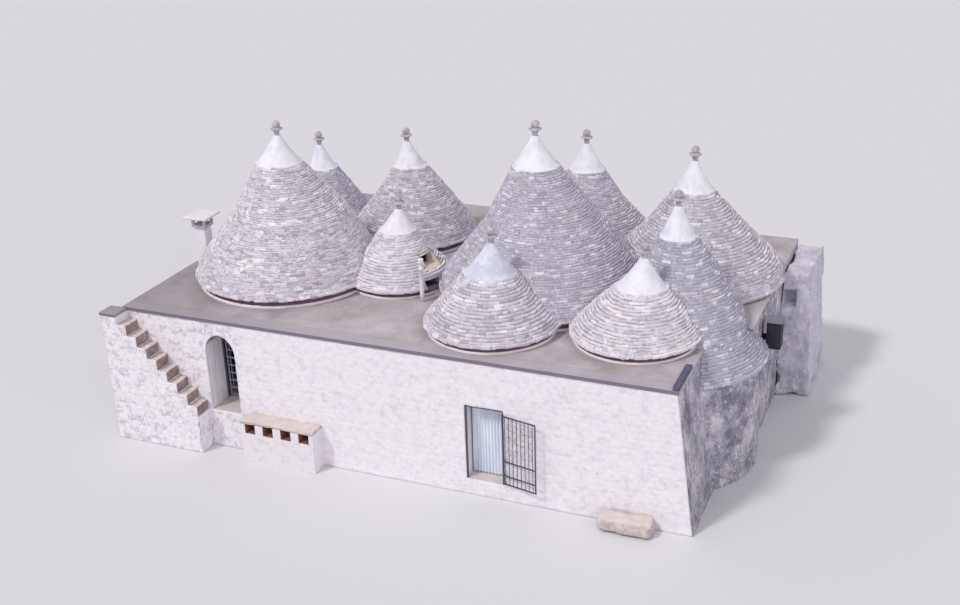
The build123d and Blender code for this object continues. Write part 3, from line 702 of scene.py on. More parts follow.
# The places along the window's depth where its painted shade starts and is full.
windowShadeEnds = [windowEnds[0] + (windowEnds[1] - windowEnds[0]) * share for share in finishPlaces["windowShade"]]
finishes = {
    "coneStone": coneStoneFinish(),
    "coneJoint": coneJointFinish(),
    "cap": capFinish(*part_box("cone_front_middle")),
    "dressed": dressedFinish(),
    "limewash": limewashFinish(),
    "rubbleWash": rubbleWashFinish(houseLeft + finishPlaces["bareWall"]),
    "reveal": revealFinish(),
    "bench": benchFinish(*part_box("bench_base")),
    "roughPlaster": roughPlasterFinish(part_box("rear_mass")[0].y),
    "terrace": terraceFinish(houseFront, finishPlaces["terraceStrip"], houseLeft),
    "wornStone": wornStoneFinish(),
    "step": stepFinish(),
    "windowPlaster": windowPlasterFinish(*windowShadeEnds),
    "footing": footingFinish(),
    "kerb": kerbFinish(),
    "iron": ironFinish("iron", (150, 152, 170), (180.2, 182.6, 203.9)),
    "darkIron": ironFinish("darkIron", (70, 72, 86), (85.5, 87.8, 104.4)),
    "curtain": curtainFinish(),
    "whitePaint": paintedMetalFinish("whitePaint", (240, 238, 242), (196, 190, 192)),
    "sootMetal": paintedMetalFinish("sootMetal", (40, 38, 50), (70, 62, 66), 0.6),
    "lidMetal": paintedMetalFinish("lidMetal", (122, 126, 138), (92, 92, 100), 0.55),
}
print("finishes made")

Cone = namedtuple("Cone", "x y radius eave capFoot capRadius tip swell middleShift capShift tipShift")
cones = {  # the eave's, the cap's foot's and the tip's heights are above the terrace
    "BigLeft": Cone(3.34, 3.75, 2.78, 0.25, 3.5, 0.65, 4.31, 0.02, 0.2, -0.05, -0.03),
    "FrontMiddle": Cone(10.6, 2.08, 1.87, 0.2, 1.58, 0.69, 2.42, -0.06, -0.05, -0.04, 0.02),
    "FrontRight": Cone(14.44, 2.62, 1.74, 0.2, 1.47, 0.64, 2.27, 0.05, 0.09, 0.13, 0.2),
    "Window": Cone(6.76, 4.33, 1.6, 0.2, 1.59, 0.52, 2.23, -0.1, -0.02, -0.02, 0.06),
    "BigMiddle": Cone(11.08, 4.9, 3.0, 0.25, 3.72, 0.64, 4.58, -0.1, 0.02, -0.22, -0.22),
    "SideRight": Cone(15.17, 4.12, 1.88, 0.0, 2.39, 0.49, 3.23, -0.03, 0.06, -0.04, -0.05),
    "BackLeft": Cone(2.3, 7.85, 1.66, 0.25, 2.05, 0.46, 2.8, 0.02, 0.03, 0.05, -0.02),
    "BackMiddle": Cone(5.55, 7.82, 2.0, 0.25, 2.4, 0.51, 3.18, -0.03, 0.06, 0.0, -0.08),
    "BackRight": Cone(11.14, 8.6, 2.15, 0.25, 2.55, 0.53, 3.35, -0.07, -0.06, 0.01, 0.01),
    "BigRight": Cone(14.81, 7.42, 2.63, 0.1, 2.61, 0.55, 3.47, -0.09, 0.04, -0.06, -0.05),
}
coneLook = {"shoulderInset": 0.155, "skirtHeight": 0.42, "fullRise": 2.4, "drumInset": 0.11, "tipRadius": 0.105,
            "ease": 0.1, "capHollow": 1.14}


# The cap's radius: it narrows as the share of its height that is left, raised to a power a
# little over one.
def capRadiusAt(cone, left):
    return coneLook["tipRadius"] + (cone.capRadius - coneLook["tipRadius"]) * left ** coneLook["capHollow"]


# A cone's outline: its radius and the shift of its middle at a height above the terrace. It
# runs straight between the eave, the shoulder, the middle and the cap's foot, with its bends
# eased by a mean over a short height, and the cap stands above.
def coneOutline(cone, height):
    rise = cone.capFoot - cone.eave
    skirt = coneLook["skirtHeight"] * min(1, rise / coneLook["fullRise"])
    shoulder = cone.radius - coneLook["shoulderInset"]
    middle = (shoulder + cone.capRadius) / 2 + cone.swell
    knots = [cone.eave, cone.eave + skirt, cone.eave + (skirt + rise) / 2, cone.capFoot]
    spread = coneLook["ease"] * np.linspace(-1, 1, 5)
    near = np.clip(np.asarray(height)[..., None] + spread, 2 * cone.eave - cone.capFoot, cone.capFoot)
    wide = np.interp(near, knots, [cone.radius, shoulder, middle, cone.capRadius]).mean(axis=-1)
    left = np.clip((cone.tip - height) / (cone.tip - cone.capFoot), 0, 1)
    wide = np.where(height > cone.capFoot, capRadiusAt(cone, left), wide)
    wide = np.where(height < cone.eave, cone.radius - coneLook["drumInset"], wide)
    wide = np.where(height > cone.tip, 0, wide)
    return wide, np.interp(height, knots + [cone.tip], [0, 0, cone.middleShift, cone.capShift, cone.tipShift])


# Whether points lie inside any other cone by more than a margin.
def insideOthers(points, name, margin):
    inside = np.zeros(len(points), bool)
    height = points[:, 2] - terraceTop
    for other, cone in cones.items():
        if other != name:
            wide, shift = coneOutline(cone, height)
            away = np.hypot(points[:, 0] - houseLeft - cone.x - shift, points[:, 1] - houseFront - cone.y)
            inside |= away < wide - margin
    return inside


courses = {"length": 0.17, "depth": 0.1, "standing": 0.018, "uneven": 0.012, "tilt": (-3, 9), "eaveStanding": 0.03,
           "fewest": 7, "longShares": (0.4, 1.7), "thickShares": (0.94, 1.2), "eaveThick": 1.15, "yaw": 1.6,
           "level": 0.005, "overlap": 0.004, "underCap": 0.02, "clear": 0.03, "faceShare": 0.8}
coneCourses = {  # the height of a course and the stones' share of grey
    "BigLeft": (0.059, 0.05), "BigMiddle": (0.064, 0.5), "FrontMiddle": (0.072, 0.12), "FrontRight": (0.072, 0.0),
    "Window": (0.068, 0.0), "SideRight": (0.075, 0.72), "BigRight": (0.072, 0.3), "BackLeft": (0.064, 0.48),
    "BackMiddle": (0.064, 0.2), "BackRight": (0.064, 0.3),
}
smallOpenings = {"window": (-8, 0.64, 0.96, 0.56), "hatch": (-25, 0.0, 0.42, 0.52)}  # azimuth, low, high, width


# Rings of stones round a cone between two heights. In each ring the stones' lengths are
# drawn at random and scaled to fill the circle. A stone's outer face stands a little proud
# of the cone's outline, and its outer edge tips down, as slabs that shed rain do.
def courseStones(name, cone, low, high, radiusAt, seed, span=None):
    rng = draws(seed)
    upright = np.array([0.0, 0.0, 1.0])
    rings = int(round((high - low) / coneCourses[name][0]))
    pitch = (high - low) / rings
    centres, axes, halves = [], [], []
    for ring in range(rings):
        height = low + pitch * (ring + 0.5)
        radius, shift = radiusAt(height)
        around = 2 * math.pi * radius
        count = max(int(around / courses["length"]), courses["fewest"])
        lengths = rng.uniform(*courses["longShares"], count)
        lengths *= around / lengths.sum()
        turn = (np.cumsum(lengths) - lengths / 2) / radius + rng.uniform(0, 2 * math.pi)
        turn = np.mod(turn + math.pi, 2 * math.pi) - math.pi
        tilt = np.radians(rng.uniform(*courses["tilt"], count))
        yaw = turn + np.radians(rng.normal(0, courses["yaw"], count))
        flat = np.stack([np.cos(yaw), np.sin(yaw), np.zeros(count)], axis=-1)
        outward = flat * np.cos(tilt)[:, None] - upright * np.sin(tilt)[:, None]
        top = upright * np.cos(tilt)[:, None] + flat * np.sin(tilt)[:, None]
        along = np.cross(top, outward)
        standing = courses["standing"] + rng.uniform(-1, 1, count) * courses["uneven"]
        if ring == 0:
            standing = standing + courses["eaveStanding"]
        sagitta = radius - np.sqrt(np.maximum(radius ** 2 - (lengths / 2) ** 2, 0))
        reach = radius + standing + sagitta * 0.4 - courses["depth"]
        middle = np.stack([houseLeft + cone.x + shift + reach * np.cos(turn),
                           houseFront + cone.y + reach * np.sin(turn),
                           terraceTop + height + rng.normal(0, courses["level"], count)], axis=-1)
        keep = np.ones(count, bool) if span is None else (turn > span[0]) & (turn < span[1])
        centres.append(middle[keep])
        axes.append(np.stack([along, outward, top], axis=1)[keep])
        thick = pitch / 2 * rng.uniform(*courses["thickShares"], count) * (courses["eaveThick"] if ring == 0 else 1)
        long = lengths / 2 + rng.uniform(0.0, courses["overlap"], count)
        halves.append(np.stack([long, np.full(count, courses["depth"]), thick], axis=-1)[keep])
    return np.concatenate(centres), np.concatenate(axes), np.concatenate(halves)


# Stones in front of the small cone's window and hatch are left out.
def clearOfOpenings(centres, halves):
    blocked = np.zeros(len(centres), bool)
    dx, dy = centres[:, 0] - houseLeft - cones["Window"].x, centres[:, 1] - houseFront - cones["Window"].y
    height = centres[:, 2] - terraceTop
    for azimuth, low, high, width in smallOpenings.values():
        east, north = math.cos(math.radians(azimuth)), math.sin(math.radians(azimuth))
        ahead, aside = dx * east + dy * north, np.abs(dy * east - dx * north)
        level = (height > low - courses["clear"]) & (height < high + courses["clear"])
        blocked |= (ahead > 0) & (aside < width / 2 + halves[:, 0] * courses["faceShare"]) & level
    return ~blocked


for number, (name, cone) in enumerate(cones.items()):
    centres, axes, halves = courseStones(name, cone, cone.eave, cone.capFoot + courses["underCap"],
                                         lambda height, cone=cone: coneOutline(cone, min(height, cone.capFoot)),
                                         seed=100 + number)
    faces = centres + axes[:, 1] * courses["depth"] * courses["faceShare"]
    keep = ~insideOthers(faces, name, courses["clear"])
    if name == "Window":
        keep &= clearOfOpenings(centres, halves)
    layStones("coneStones" + name, centres[keep], axes[keep], halves[keep], coneCourses[name][1], 200 + number)
print("cone stones laid")

# The fifth value is the share of each ring's height, down from its eave, that is painted dark as the eave's shadow.
footing = {"flare": 0.035, "proud": 0.02, "inside": 0.2, "sides": 96, "damp": 0.72, "clear": 0.05}


# The plastered ring under each eave, with a flared foot, left out inside other cones. Its upper part is marked to be
# painted dark as the eave's shadow.
def footingRing(cone):
    wide, clean = cone.radius - coneLook["drumInset"], cone.eave * (1 - footing["damp"])
    outs = [-footing["inside"], footing["flare"], footing["flare"] - 0.01, footing["proud"] + 0.01, footing["proud"],
            0.006, 0.004, -footing["inside"]]
    heights = [-0.01, -0.01, 0.02, clean - 0.012, clean, clean + 0.008, cone.eave + 0.01, cone.eave + 0.02]
    points, quads = turned((cone.x, cone.y), wide + np.array(outs), heights, footing["sides"], wobble=0.012, cell=0.5,
                           seed=31, ring=True)
    return points, quads, np.repeat([0, 0, 0, 0, 0, 1, 1, 1], footing["sides"])


# Each ring's points are marked 1 where the eave's shadow is painted, and 0 below.
rings, damp = [], []
for name, cone in cones.items():
    if cone.eave > 0:
        points, quads, dark = footingRing(cone)
        rings.append((points, quads[~insideOthers(points[quads].mean(axis=1), name, footing["clear"])]))
        damp.append(dark)
makePiece("coneFootings", *joined(rings), "footing", "white_plaster", values={"damp": np.concatenate(damp)})

capShape = {"sides": 44, "steps": 20, "overhang": 0.03, "rim": 0.045}


# A cap: a rim that hangs over the top ring of stones, then the hollow-sided cone up to the
# finial's neck.
def whiteCap(cone, seed):
    share = np.linspace(0, 1, capShape["steps"])[1:]
    edge = cone.capRadius + capShape["overhang"]
    radii = np.concatenate([[cone.capRadius * 0.5, edge - 0.01, edge, edge - 0.012], capRadiusAt(cone, 1 - share)])
    heights = np.concatenate([[-0.03, -0.03, -0.015, capShape["rim"] * 0.4], (cone.tip - cone.capFoot) * share])
    return turned((cone.x, cone.y), radii, cone.capFoot + heights, capShape["sides"], wobble=0.012, cell=0.3, seed=seed,
                  lean=(cone.capShift, cone.tipShift))


makePiece("whiteCaps", *joined([whiteCap(cone, 300 + n) for n, cone in enumerate(cones.values())]), "cap",
          "white_plaster", "cone_caps")

finialShape = {"sides": 26, "neck": 0.165, "disc": 0.025, "discRadius": 0.145, "ballMiddle": 0.325, "ballRadius": 0.12,
               "ballHeight": 0.114, "edge": 0.038, "neckRadii": [0.08, 0.074, 0.08, 0.102], "ballFoot": 0.072}


# A finial: a neck that widens upwards, a thin round-edged disc and a ball, from arcs worked
# out by angle.
def stoneFinial(cone, seed):
    shape = finialShape
    edge, ball = np.radians(np.linspace(-80, 80, 7)), np.radians(np.linspace(-56, 84, 13))
    above = shape["neck"] + 2 * shape["disc"] + 0.004
    radii = np.concatenate([shape["neckRadii"], shape["discRadius"] + shape["edge"] * np.cos(edge),
                            [shape["ballFoot"]], shape["ballRadius"] * np.cos(ball)])
    heights = np.concatenate([[-0.03, 0.0, 0.08, shape["neck"] - 0.008],
                              shape["neck"] + shape["disc"] * (1 + np.sin(edge)), [above],
                              shape["ballMiddle"] + shape["ballHeight"] * np.sin(ball)])
    return turned((cone.x + cone.tipShift, cone.y), radii, cone.tip + heights, shape["sides"], wobble=0.006, cell=0.09,
                  seed=seed)


makePiece("stoneFinials", *joined([stoneFinial(cone, 330 + n) for n, cone in enumerate(cones.values())]), "dressed",
          "dressed_stone", "finials")
print("caps and finials turned")

rubble = {"length": 0.3, "height": 0.17, "joint": 0.35, "lift": 0.004, "relief": 0.014, "lumps": 0.009, "edge": 0.012}
front = {"length": 16.25, "depth": 11.3, "top": 3.95, "landing": 4.05, "batter": 0.49,
         "archLeft": 2.64, "archRight": 3.6, "springing": 3.03, "archRise": 0.55, "archFloor": 1.18,
         "doorLeft": 10.59, "doorRight": 11.69, "doorHead": 2.69, "doorFloor": 0.48}


# An upright face over a grid: the plan place runs from one end to the other, the height up.
def uprightFace(start, end, marks, rows):
    share = (marks - marks[0]) / (marks[-1] - marks[0])
    x = houseLeft + start[0] + (end[0] - start[0]) * share
    y = houseFront + start[1] + (end[1] - start[1]) * share
    base = np.zeros((len(rows), len(marks), 3))
    base[:, :, 0], base[:, :, 1], base[:, :, 2] = x, y, rows[:, None]
    return base


# The arched doorway's head: two arcs that meet over its middle. Each arc's radius comes from
# the half width and the rise, and its centre lies past the middle by the radius less the half.
def archCurve(x):
    half = (front["archRight"] - front["archLeft"]) / 2
    radius = (half ** 2 + front["archRise"] ** 2) / (2 * half)
    aside = np.minimum(np.abs(x - front["archLeft"] - half), half)
    return front["springing"] + np.sqrt(np.maximum(radius ** 2 - (aside + radius - half) ** 2, 0))


# The front wall: one grid whose lines pass through the doorways' edges. Over the arch the
# rows above the springing are squeezed between the curve and the top, and the last stretch
# widens towards the foot as the corner leans out.
def frontSkin():
    x = lines([0, front["archLeft"], front["archRight"], front["doorLeft"], front["doorRight"], front["length"]])
    z = lines([0, front["doorFloor"], front["archFloor"], front["doorHead"], front["springing"], front["top"]])
    base = uprightFace((0, 0), (front["length"], 0), x, z)
    squeeze = (front["top"] - archCurve(x)) / (front["top"] - front["springing"])
    above = z[:, None] > front["springing"] - 0.001
    base[:, :, 2] = np.where(above, front["top"] - (front["top"] - z[:, None]) * squeeze, base[:, :, 2])
    share = np.clip((x - front["doorRight"]) / (front["length"] - front["doorRight"]), 0, 1)
    base[:, :, 0] += share * front["batter"] * (1 - base[:, :, 2] / front["top"])

    def keep(middles):
        x, z = middles[:, 0] - houseLeft, middles[:, 2]
        arch = (x > front["archLeft"]) & (x < front["archRight"]) & (z > front["archFloor"]) & (z < archCurve(x))
        door = (x > front["doorLeft"]) & (x < front["doorRight"]) & (z > front["doorFloor"]) & (z < front["doorHead"])
        return ~(arch | door)

    return rubbleSkin(base, (0, -1, 0), base[:, :, 0] - houseLeft, rubble, 7, ((-1, 0, 0), cornerOut), keep)


# A side wall's skin: one grid at a plan place across, between two places back. It may lean
# out towards its foot.
def sideSkin(x, ends, top, steps, outward, look, seed, meets=((0, -1, 0), None), lean=0.0):
    across, rows = lines([0, ends[1] - ends[0]], steps[0]), lines([0, top], steps[1])
    base = uprightFace((x, ends[0]), (x, ends[1]), across, rows)
    base[:, :, 0] += lean * (1 - base[:, :, 2] / top)
    return rubbleSkin(base, outward, base[:, :, 1], look, seed, meets)


# The way that the leaning corner's right face looks.
cornerOut = np.array([1.0, 0.0, front["batter"] / front["top"]]) / math.hypot(1, front["batter"] / front["top"])
skinPiece("frontWallSkin", [frontSkin()], "rubbleWash", "limewash")
leftSkin = sideSkin(0, (0, front["depth"]), front["top"], (0.05, 0.05), (-1, 0, 0), rubble, 17)
skinPiece("leftWallSkin", [leftSkin], "rubbleWash", "limewash")

stair = {"width": 0.57, "going": 0.3, "steps": 8, "left": -0.395, "right": 0.115, "grid": 0.035}
stair["rise"] = (front["landing"] - front["archFloor"]) / (stair["steps"] + 1)


# The height of a step's top, counted down from the landing.
def stepTop(n):
    return front["landing"] - stair["rise"] * (n + 1)


# The flight's outer face and its two ends. The outer face is one grid whose lines pass
# through the steps' edges, kept where it lies below the landing or a step's top.
def flightSkin():
    edges = [stair["right"] + stair["going"] * n for n in range(stair["steps"] + 1)]
    tops = [stepTop(n) for n in range(stair["steps"])][::-1]
    across = lines([stair["left"]] + edges, stair["grid"])
    rows = lines([0.0] + tops + [front["top"]], stair["grid"])
    base = uprightFace((stair["left"], -stair["width"]), (edges[-1], -stair["width"]), across, rows)

    def keep(middles):
        step = np.floor((middles[:, 0] - houseLeft - stair["right"]) / stair["going"])
        return middles[:, 2] < np.where(step < 0, front["top"], stepTop(step))

    skins = [rubbleSkin(base, (0, -1, 0), base[:, :, 0], rubble, 23, ((-1, 0, 0), (1, 0, 0)), keep)]
    for place, high, way in ((stair["left"], front["top"], -1), (edges[-1], tops[0] - stair["rise"], 1)):
        steps = (stair["grid"], stair["grid"])
        skins.append(sideSkin(place, (-stair["width"], 0), high, steps, (way, 0, 0), rubble, 29))
    return skins


skinPiece("stairFlightSkin", flightSkin(), "rubbleWash", "limewash")


# One step: a worn stone block as high as the rise, its place and size each off by a little,
# behind the skin of the flight's outer face.
def tread(n):
    rng = draws(400 + n)
    x0 = houseLeft + stair["right"] + stair["going"] * n
    top = stepTop(n)
    low = (x0 + rng.uniform(-0.004, 0.01), houseFront - stair["width"] + 0.002, top - stair["rise"])
    high = (x0 + stair["going"] + rng.uniform(-0.01, 0.016), houseFront, top - rng.uniform(0, 0.012))
    return lumpyBlock((stair["going"], stair["width"], stair["rise"]), boxMapping(low, high), step=0.04,
                      rounding=0.024, lumps=0.022, cell=0.16, seed=410 + n, grain=0.006)


makePiece("stairSteps", *joined([tread(n) for n in range(stair["steps"])]), "step", "worn_stone", "stair_treads")


# A lumpy block that stands in for a CAD node of the same box.
def blockFor(node, name, finish, slot, look):
    low, high = (np.array(corner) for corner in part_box(node))
    makePiece(name, *lumpyBlock(high - low, boxMapping(low, high), **look), finish, slot, node)


blocks = {  # for each CAD node: the piece that stands in for it, its finish, slot and surface
    "landing_cap": ("landingCap", "terrace", "cement",
                    {"step": 0.04, "rounding": 0.018, "lumps": 0.01, "seed": 51, "grain": 0.004}),
    "bench_slab": ("benchSlab", "wornStone", "limewash",
                   {"step": 0.05, "rounding": 0.025, "lumps": 0.02, "seed": 52, "grain": 0.005}),
    "stone_seat": ("stoneSeat", "wornStone", "worn_stone",
                   {"step": 0.05, "rounding": 0.17, "lumps": 0.05, "cell": 0.4, "seed": 53, "grain": 0.01}),
    "terrace_kerb": ("terraceKerb", "kerb", "cement",
                     {"step": 0.04, "rounding": 0.015, "lumps": 0.012, "seed": 54, "grain": 0.004}),
    "chimney_slab": ("chimneySlab", "limewash", "grey_stone",
                     {"step": 0.04, "rounding": 0.02, "lumps": 0.02, "cell": 0.3, "seed": 55, "grain": 0.006}),
}
for node, block in blocks.items():
    blockFor(node, *block)
print("walls and stair dressed")

chimney = {"size": (0.43, 0.43, 1.18), "taper": 0.04}
low, high = (np.array(corner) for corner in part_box("chimney_stack"))
stackMap = taperMapping(low[:2], high[:2], low[:2] + chimney["taper"], high[:2] - chimney["taper"], low[2], high[2])
makePiece("chimneyStack", *lumpyBlock(chimney["size"], stackMap, step=0.04, rounding=0.02, lumps=0.015, cell=0.3,
                                      seed=61, grain=0.004), "limewash", "limewash", "chimney_stack")

annex = {"batter": 0.22, "skew": 0.25, "length": 3.0, "width": 1.05, "right": 17.25}
niche = {"left": 17.31, "right": 17.65, "foot": 2.9, "head": 3.38, "depth": 0.42, "nearFace": 0.1}


# The rough mass: its front face runs askew, and its front and side lean in upwards. Points
# of the front face that lie in the niche's outline are set back by its depth.
def roughMass():
    depth, top = front["depth"], front["top"]

    def carry(shares):
        side, back, up = shares.T
        batter = annex["batter"] * up
        start = depth - annex["length"] + batter + annex["skew"] * side
        return np.stack([houseLeft + (annex["right"] + (annex["width"] - batter) * side),
                         houseFront + (start + (depth - start) * back), top * up], axis=-1)

    points, quads = lumpyBlock((annex["width"], annex["length"], top), carry, step=0.06, rounding=0.08, lumps=0.09,
                               cell=0.55, seed=63, grain=0.03)
    x, y, z = points[:, 0] - houseLeft, points[:, 1] - houseFront, points[:, 2]
    face = depth - annex["length"] + annex["batter"] * z / top + annex["skew"] * (x - annex["right"]) / annex["width"]
    sunk = (x > niche["left"]) & (x < niche["right"]) & (z > niche["foot"]) & (z < niche["head"])
    sunk &= y < face + niche["nearFace"]
    points[sunk, 1] += niche["depth"]
    return points, quads


makePiece("rearMass", *roughMass(), "roughPlaster", "rough_plaster", "rear_mass")

rough = {"length": 0.42, "height": 0.24, "joint": 0.3, "lift": 0.004, "relief": 0.03, "lumps": 0.014, "edge": 0.012}
plain = {"length": 0.55, "height": 0.4, "joint": 0.5, "lift": 0.004, "relief": 0.014, "lumps": 0.012, "edge": 0.012}
flank = {"cornerEnd": 2.6, "wallStart": 4.4, "wallEnd": 8.45}

# The battered right face of the corner wall, and the straight wall behind the bay.
rightSkins = [sideSkin(front["length"], (0, flank["cornerEnd"]), front["top"], (0.045, 0.045), cornerOut, plain, 71,
                       lean=front["batter"]),
              sideSkin(annex["right"], (flank["wallStart"], flank["wallEnd"]), front["top"], (0.055, 0.05), (1, 0, 0),
                       rough, 73, (None, None))]

bay = {"radius": 2.32, "eave": 3.15, "skirtRadius": 2.47, "start": -75, "end": 30, "columns": 96, "rows": 72}
sideCone = cones["SideRight"]


# The round bay's drum: a part of an upright cylinder, its width measured along the arc.
def baySkin():
    turn = np.radians(np.linspace(bay["start"], bay["end"], bay["columns"]))
    t, h = np.meshgrid(turn, np.linspace(0, bay["eave"], bay["rows"]))
    outward = np.stack([np.cos(t), np.sin(t), np.zeros_like(t)], axis=-1)
    base = outward * bay["radius"] + np.array([houseLeft + sideCone.x, houseFront + sideCone.y, 0.0])
    base[:, :, 2] = h
    return rubbleSkin(base, outward, t * bay["radius"], rough, 79)


skinPiece("rightFlankSkin", rightSkins + [baySkin()], "roughPlaster", "rough_plaster")


# The skirt's radius: it widens from the cone's foot down to the bay's eave.
def skirtRadius(height):
    return np.interp(-height, [0, front["landing"] - bay["eave"]], [sideCone.radius, bay["skirtRadius"]]), 0.0


skirtStones = courseStones("SideRight", sideCone, bay["eave"] - front["landing"], 0.0, skirtRadius, seed=131,
                           span=(math.radians(bay["start"]), math.radians(bay["end"] + 4)))
layStones("skirtStones", *skirtStones, coneCourses["SideRight"][1], seed=231)
print("right flank dressed")

vent = {
    "place": (8.08, 3.01), "sides": 28,
    "radii": [0.063, 0.064, 0.063, 0.063, 0.074, 0.074, 0.064, 0.064, 0.083, 0.085, 0.083, 0.05, 0.05, 0.084, 0.085,
              0.06, 0.02],
    "heights": [-0.01, 0.3, 0.6, 0.98, 0.985, 1.03, 1.035, 1.18, 1.185, 1.215, 1.235, 1.24, 1.272, 1.275, 1.29,
                1.318, 1.328],
}
makePiece("ventPipe", *turned(vent["place"], vent["radii"], vent["heights"], vent["sides"]), "whitePaint",
          "white_pipe", "vent_pipe")
lid = {"step": 0.02, "rounding": 0.008, "lumps": 0.003, "seed": 57}
blockFor("flue_lid", "flueLid", "lidMetal", "flue_metal", lid)

curtain = {"folds": 11, "depth": 0.024, "columns": 240, "rows": 60, "topLoss": 0.35, "side": 0.012, "foot": 0.004,
           "head": 0.002, "noiseHeight": 0.35, "wander": 1.25, "wanderCell": 0.3, "uneven": 0.15, "unevenCell": 0.15,
           "overfold": 0.004}


# The gathered curtain: across its width the cloth waves in rounded folds whose pitch and
# depth wander, deepest at the hem. Its flat width is the length of that wave, and its flat
# length is its drop.
def curtainSheet():
    low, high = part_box("door_curtain")
    across, up = np.meshgrid(np.linspace(0, 1, curtain["columns"]), np.linspace(0, 1, curtain["rows"]))
    flat = np.stack([across.ravel(), np.zeros(across.size), up.ravel() * curtain["noiseHeight"]], axis=-1)
    wander = softNoise(flat, curtain["wanderCell"], 91).reshape(across.shape)
    uneven = softNoise(flat, curtain["unevenCell"], 92).reshape(across.shape)
    turns = 2 * math.pi * curtain["folds"] * across
    deep = curtain["depth"] * (1 - curtain["topLoss"] * up) * (1 + curtain["uneven"] * uneven)
    x = low.x + curtain["side"] + (high.x - low.x - 2 * curtain["side"]) * across
    x = x + curtain["overfold"] * np.cos(2 * turns)
    y = (low.y + high.y) / 2 + deep * np.sin(turns + wander * curtain["wander"])
    z = low.z + curtain["foot"] + (high.z - low.z - curtain["foot"] - curtain["head"]) * up
    points = np.stack([x, y, z], axis=-1)
    width, drop = (np.linalg.norm(np.diff(points, axis=way), axis=-1).sum(axis=way).mean() for way in (1, 0))
    return points.reshape(-1, 3), gridQuads(curtain["rows"], curtain["columns"]), float(width), float(drop)


clothPoints, clothQuads, clothWidth, clothDrop = curtainSheet()
cloth = makePiece("doorCurtain", clothPoints, clothQuads, "curtain", "curtain_cloth", "door_curtain")
print("curtain hung, flat size", round(clothWidth, 2), round(clothDrop, 2))

scrolls = {"turns": 1.35, "twist": 1.35, "tightening": 2.2, "size": 0.105, "wire": 0.0055, "steps": 44, "sides": 6,
           "hinge": (11.6675, -0.048), "openAngle": 168, "foot": 0.535, "columns": (0.2, 0.42, 0.64, 0.86),
           "heights": (1.02, 1.38, 1.74)}


# A scroll of flat wire: its direction turns faster towards both ends, in opposite senses,
# so its line is the running sum of the directions. A round section is carried along it.
def scrollWire(centre, alongLeaf, flip, size):
    s = np.linspace(-1, 1, scrolls["steps"])
    angle = scrolls["turns"] * math.pi * np.sign(s) * np.abs(s) ** scrolls["tightening"] + scrolls["twist"]
    line = np.cumsum(np.stack([np.cos(angle), np.sin(angle)], axis=-1), axis=0)
    line -= line.mean(axis=0)
    line *= size / np.abs(line).max()
    line[:, 0] *= flip
    tangent = np.gradient(line, axis=0)
    tangent /= np.linalg.norm(tangent, axis=1, keepdims=True)
    leaf = np.array([alongLeaf[0], alongLeaf[1], 0.0])
    upright = np.array([0.0, 0.0, 1.0])
    thick = np.cross(leaf, upright)
    middle = np.array(centre) + line[:, :1] * leaf + line[:, 1:] * upright
    sideways = -tangent[:, 1:] * leaf + tangent[:, :1] * upright
    turn = np.linspace(0, 2 * math.pi, scrolls["sides"], endpoint=False)
    ring = sideways[:, None] * np.cos(turn)[None, :, None] + thick * np.sin(turn)[None, :, None]
    points = (middle[:, None] + scrolls["wire"] * ring).reshape(-1, 3)
    quads = gridQuads(len(line), scrolls["sides"], wrapped=True)
    ends = endFans(len(line), scrolls["sides"])
    if flip < 0:
        quads, ends = quads[:, ::-1], ends[:, ::-1]
    return np.concatenate([points, middle[:1], middle[-1:]]), [quads, ends]


openAngle = math.radians(scrolls["openAngle"])
leafWay = (-math.cos(openAngle), -math.sin(openAngle))
hingeX, hingeY = houseLeft + scrolls["hinge"][0], houseFront + scrolls["hinge"][1]
wires = []
for row, height in enumerate(scrolls["heights"]):
    for column, share in enumerate(scrolls["columns"]):
        centre = (hingeX + leafWay[0] * share, hingeY + leafWay[1] * share, scrolls["foot"] + height)
        wires.append(scrollWire(centre, leafWay, 1 if (row + column) % 2 else -1, scrolls["size"]))
makePiece("gateScrolls", *joined(wires), "darkIron", "iron", body="front_gate")
print("gate scrolls bent")

# CAD nodes that stay and take a finish.
cadFinishes = {
    "coneJoint": ["cone_back_left", "cone_back_middle", "cone_back_right", "cone_big_left", "cone_big_middle",
                  "cone_big_right", "cone_front_middle", "cone_front_right", "cone_side_right", "cone_window"],
    "limewash": ["left_wall", "back_wall", "stair_flight"],
    "reveal": ["front_wall_left", "front_wall_middle", "front_wall_right", "arch_head", "door_head"],
    "bench": ["bench_base"],
    "roughPlaster": ["right_corner_wall", "right_wall_back", "round_bay"],
    "terrace": ["terrace_left", "terrace_middle", "terrace_right"],
    "windowPlaster": ["window_surround"],
    "wornStone": ["high_floor", "low_floor"],
    "dressed": ["chimney_head"],
    "darkIron": ["gate_frame", "gate_leaf", "curtain_rod", "arch_gate_frame"],
    "iron": ["arch_gate_leaf"],
    "sootMetal": ["flue_box"],
}
for key, nodes in cadFinishes.items():
    for node in nodes:
        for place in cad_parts[node].material_slots:
            place.material = finishes[key]
print("nodes finished")

view = {"place": (14.064, -32.0146, 18.06), "lens": 46.875, "right": (0.923851, 0.381506, -0.030861),
        "up": (-0.124924, 0.376762, 0.917847), "ahead": (-0.361791, 0.844099, -0.395732),
        "sensor": 36.0, "farthest": 400.0}
lens = bpy.data.cameras.new("photoCamera")
lens.lens, lens.sensor_width, lens.clip_end = view["lens"], view["sensor"], view["farthest"]
camera = placed("photoCamera", lens)
axes = Matrix([view["right"], view["up"], [-value for value in view["ahead"]]]).transposed().to_4x4()
camera.matrix_world = Matrix.Translation(view["place"]) @ axes
bpy.context.scene.camera = camera

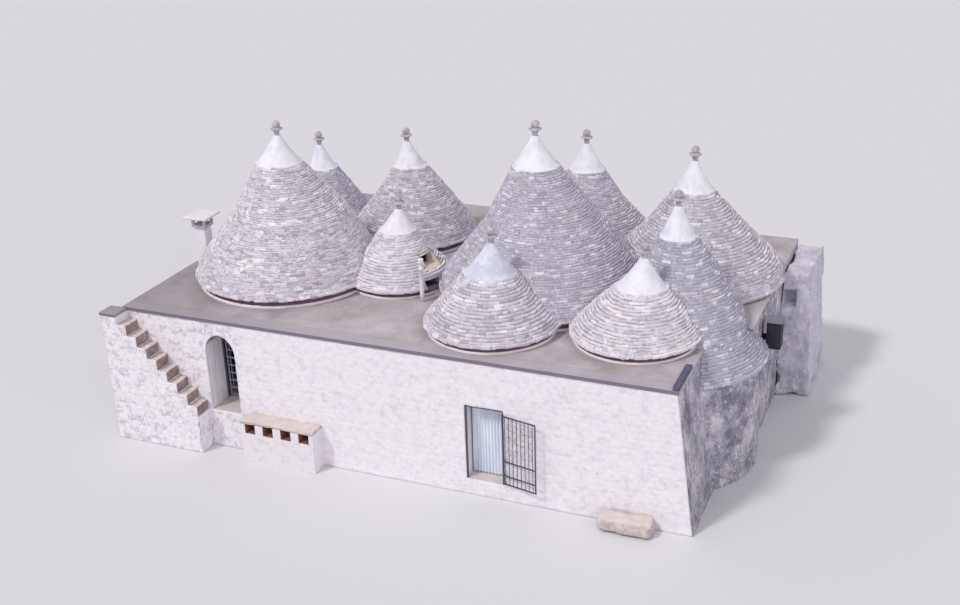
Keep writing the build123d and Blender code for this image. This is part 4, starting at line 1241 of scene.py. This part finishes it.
light = {"sky": 0.56, "skyColour": (0.96, 0.95, 1.0), "lampColour": (1.0, 0.985, 0.96), "floor": (226, 225, 228),
         "backdrop": (218, 216, 222), "floorReach": 150.0, "floorHeight": -0.002}
lamps = {  # the way to each lamp, its strength and the width of its disc in degrees
    "studioKey": ((-0.45, -0.7, 0.95), 1.35, 9.0),
    "studioFill": ((0.75, -0.6, 0.45), 0.45, 50.0),
}
for name, (way, strength, softness) in lamps.items():
    sun = bpy.data.lights.new(name, "SUN")
    sun.energy, sun.angle = strength, math.radians(softness)
    sun.color = light["lampColour"]
    placed(name, sun).matrix_world = Vector(way).to_track_quat("Z", "Y").to_matrix().to_4x4()

# The sky lights the house, and what the camera, gloss and glass see is the backdrop.
world = bpy.data.worlds.new("studioSky")
world.use_nodes = True
nodes, links = world.node_tree.nodes, world.node_tree.links
sky, seen, rays = nodes["Background"], nodes.new("ShaderNodeBackground"), nodes.new("ShaderNodeLightPath")
sky.inputs["Color"].default_value = (*light["skyColour"], 1)
sky.inputs["Strength"].default_value = light["sky"]
seen.inputs["Color"].default_value = (*colour(light["backdrop"]), 1)
direct = rays.outputs["Is Camera Ray"]
for kind in ("Is Glossy Ray", "Is Transmission Ray"):
    either = nodes.new("ShaderNodeMath")
    either.operation = "MAXIMUM"
    links.new(direct, either.inputs[0])
    links.new(rays.outputs[kind], either.inputs[1])
    direct = either.outputs[0]
chosen = nodes.new("ShaderNodeMixShader")
for number, source in enumerate((direct, sky.outputs[0], seen.outputs[0])):
    links.new(source, chosen.inputs[number])
links.new(chosen.outputs[0], nodes["World Output"].inputs["Surface"])
bpy.context.scene.world = world

floorMesh = bpy.data.meshes.new("studioFloor")
corners = [(x * light["floorReach"], y * light["floorReach"], light["floorHeight"])
           for x, y in ((-1, -1), (1, -1), (1, 1), (-1, 1))]
floorMesh.from_pydata(corners, [], [(0, 1, 2, 3)])
floorMesh.materials.append(Finish("studioFloor", 0.9, 0.1).paint(light["floor"]))
placed("studioFloor", floorMesh)

bpy.context.scene.view_settings.view_transform = "Standard"
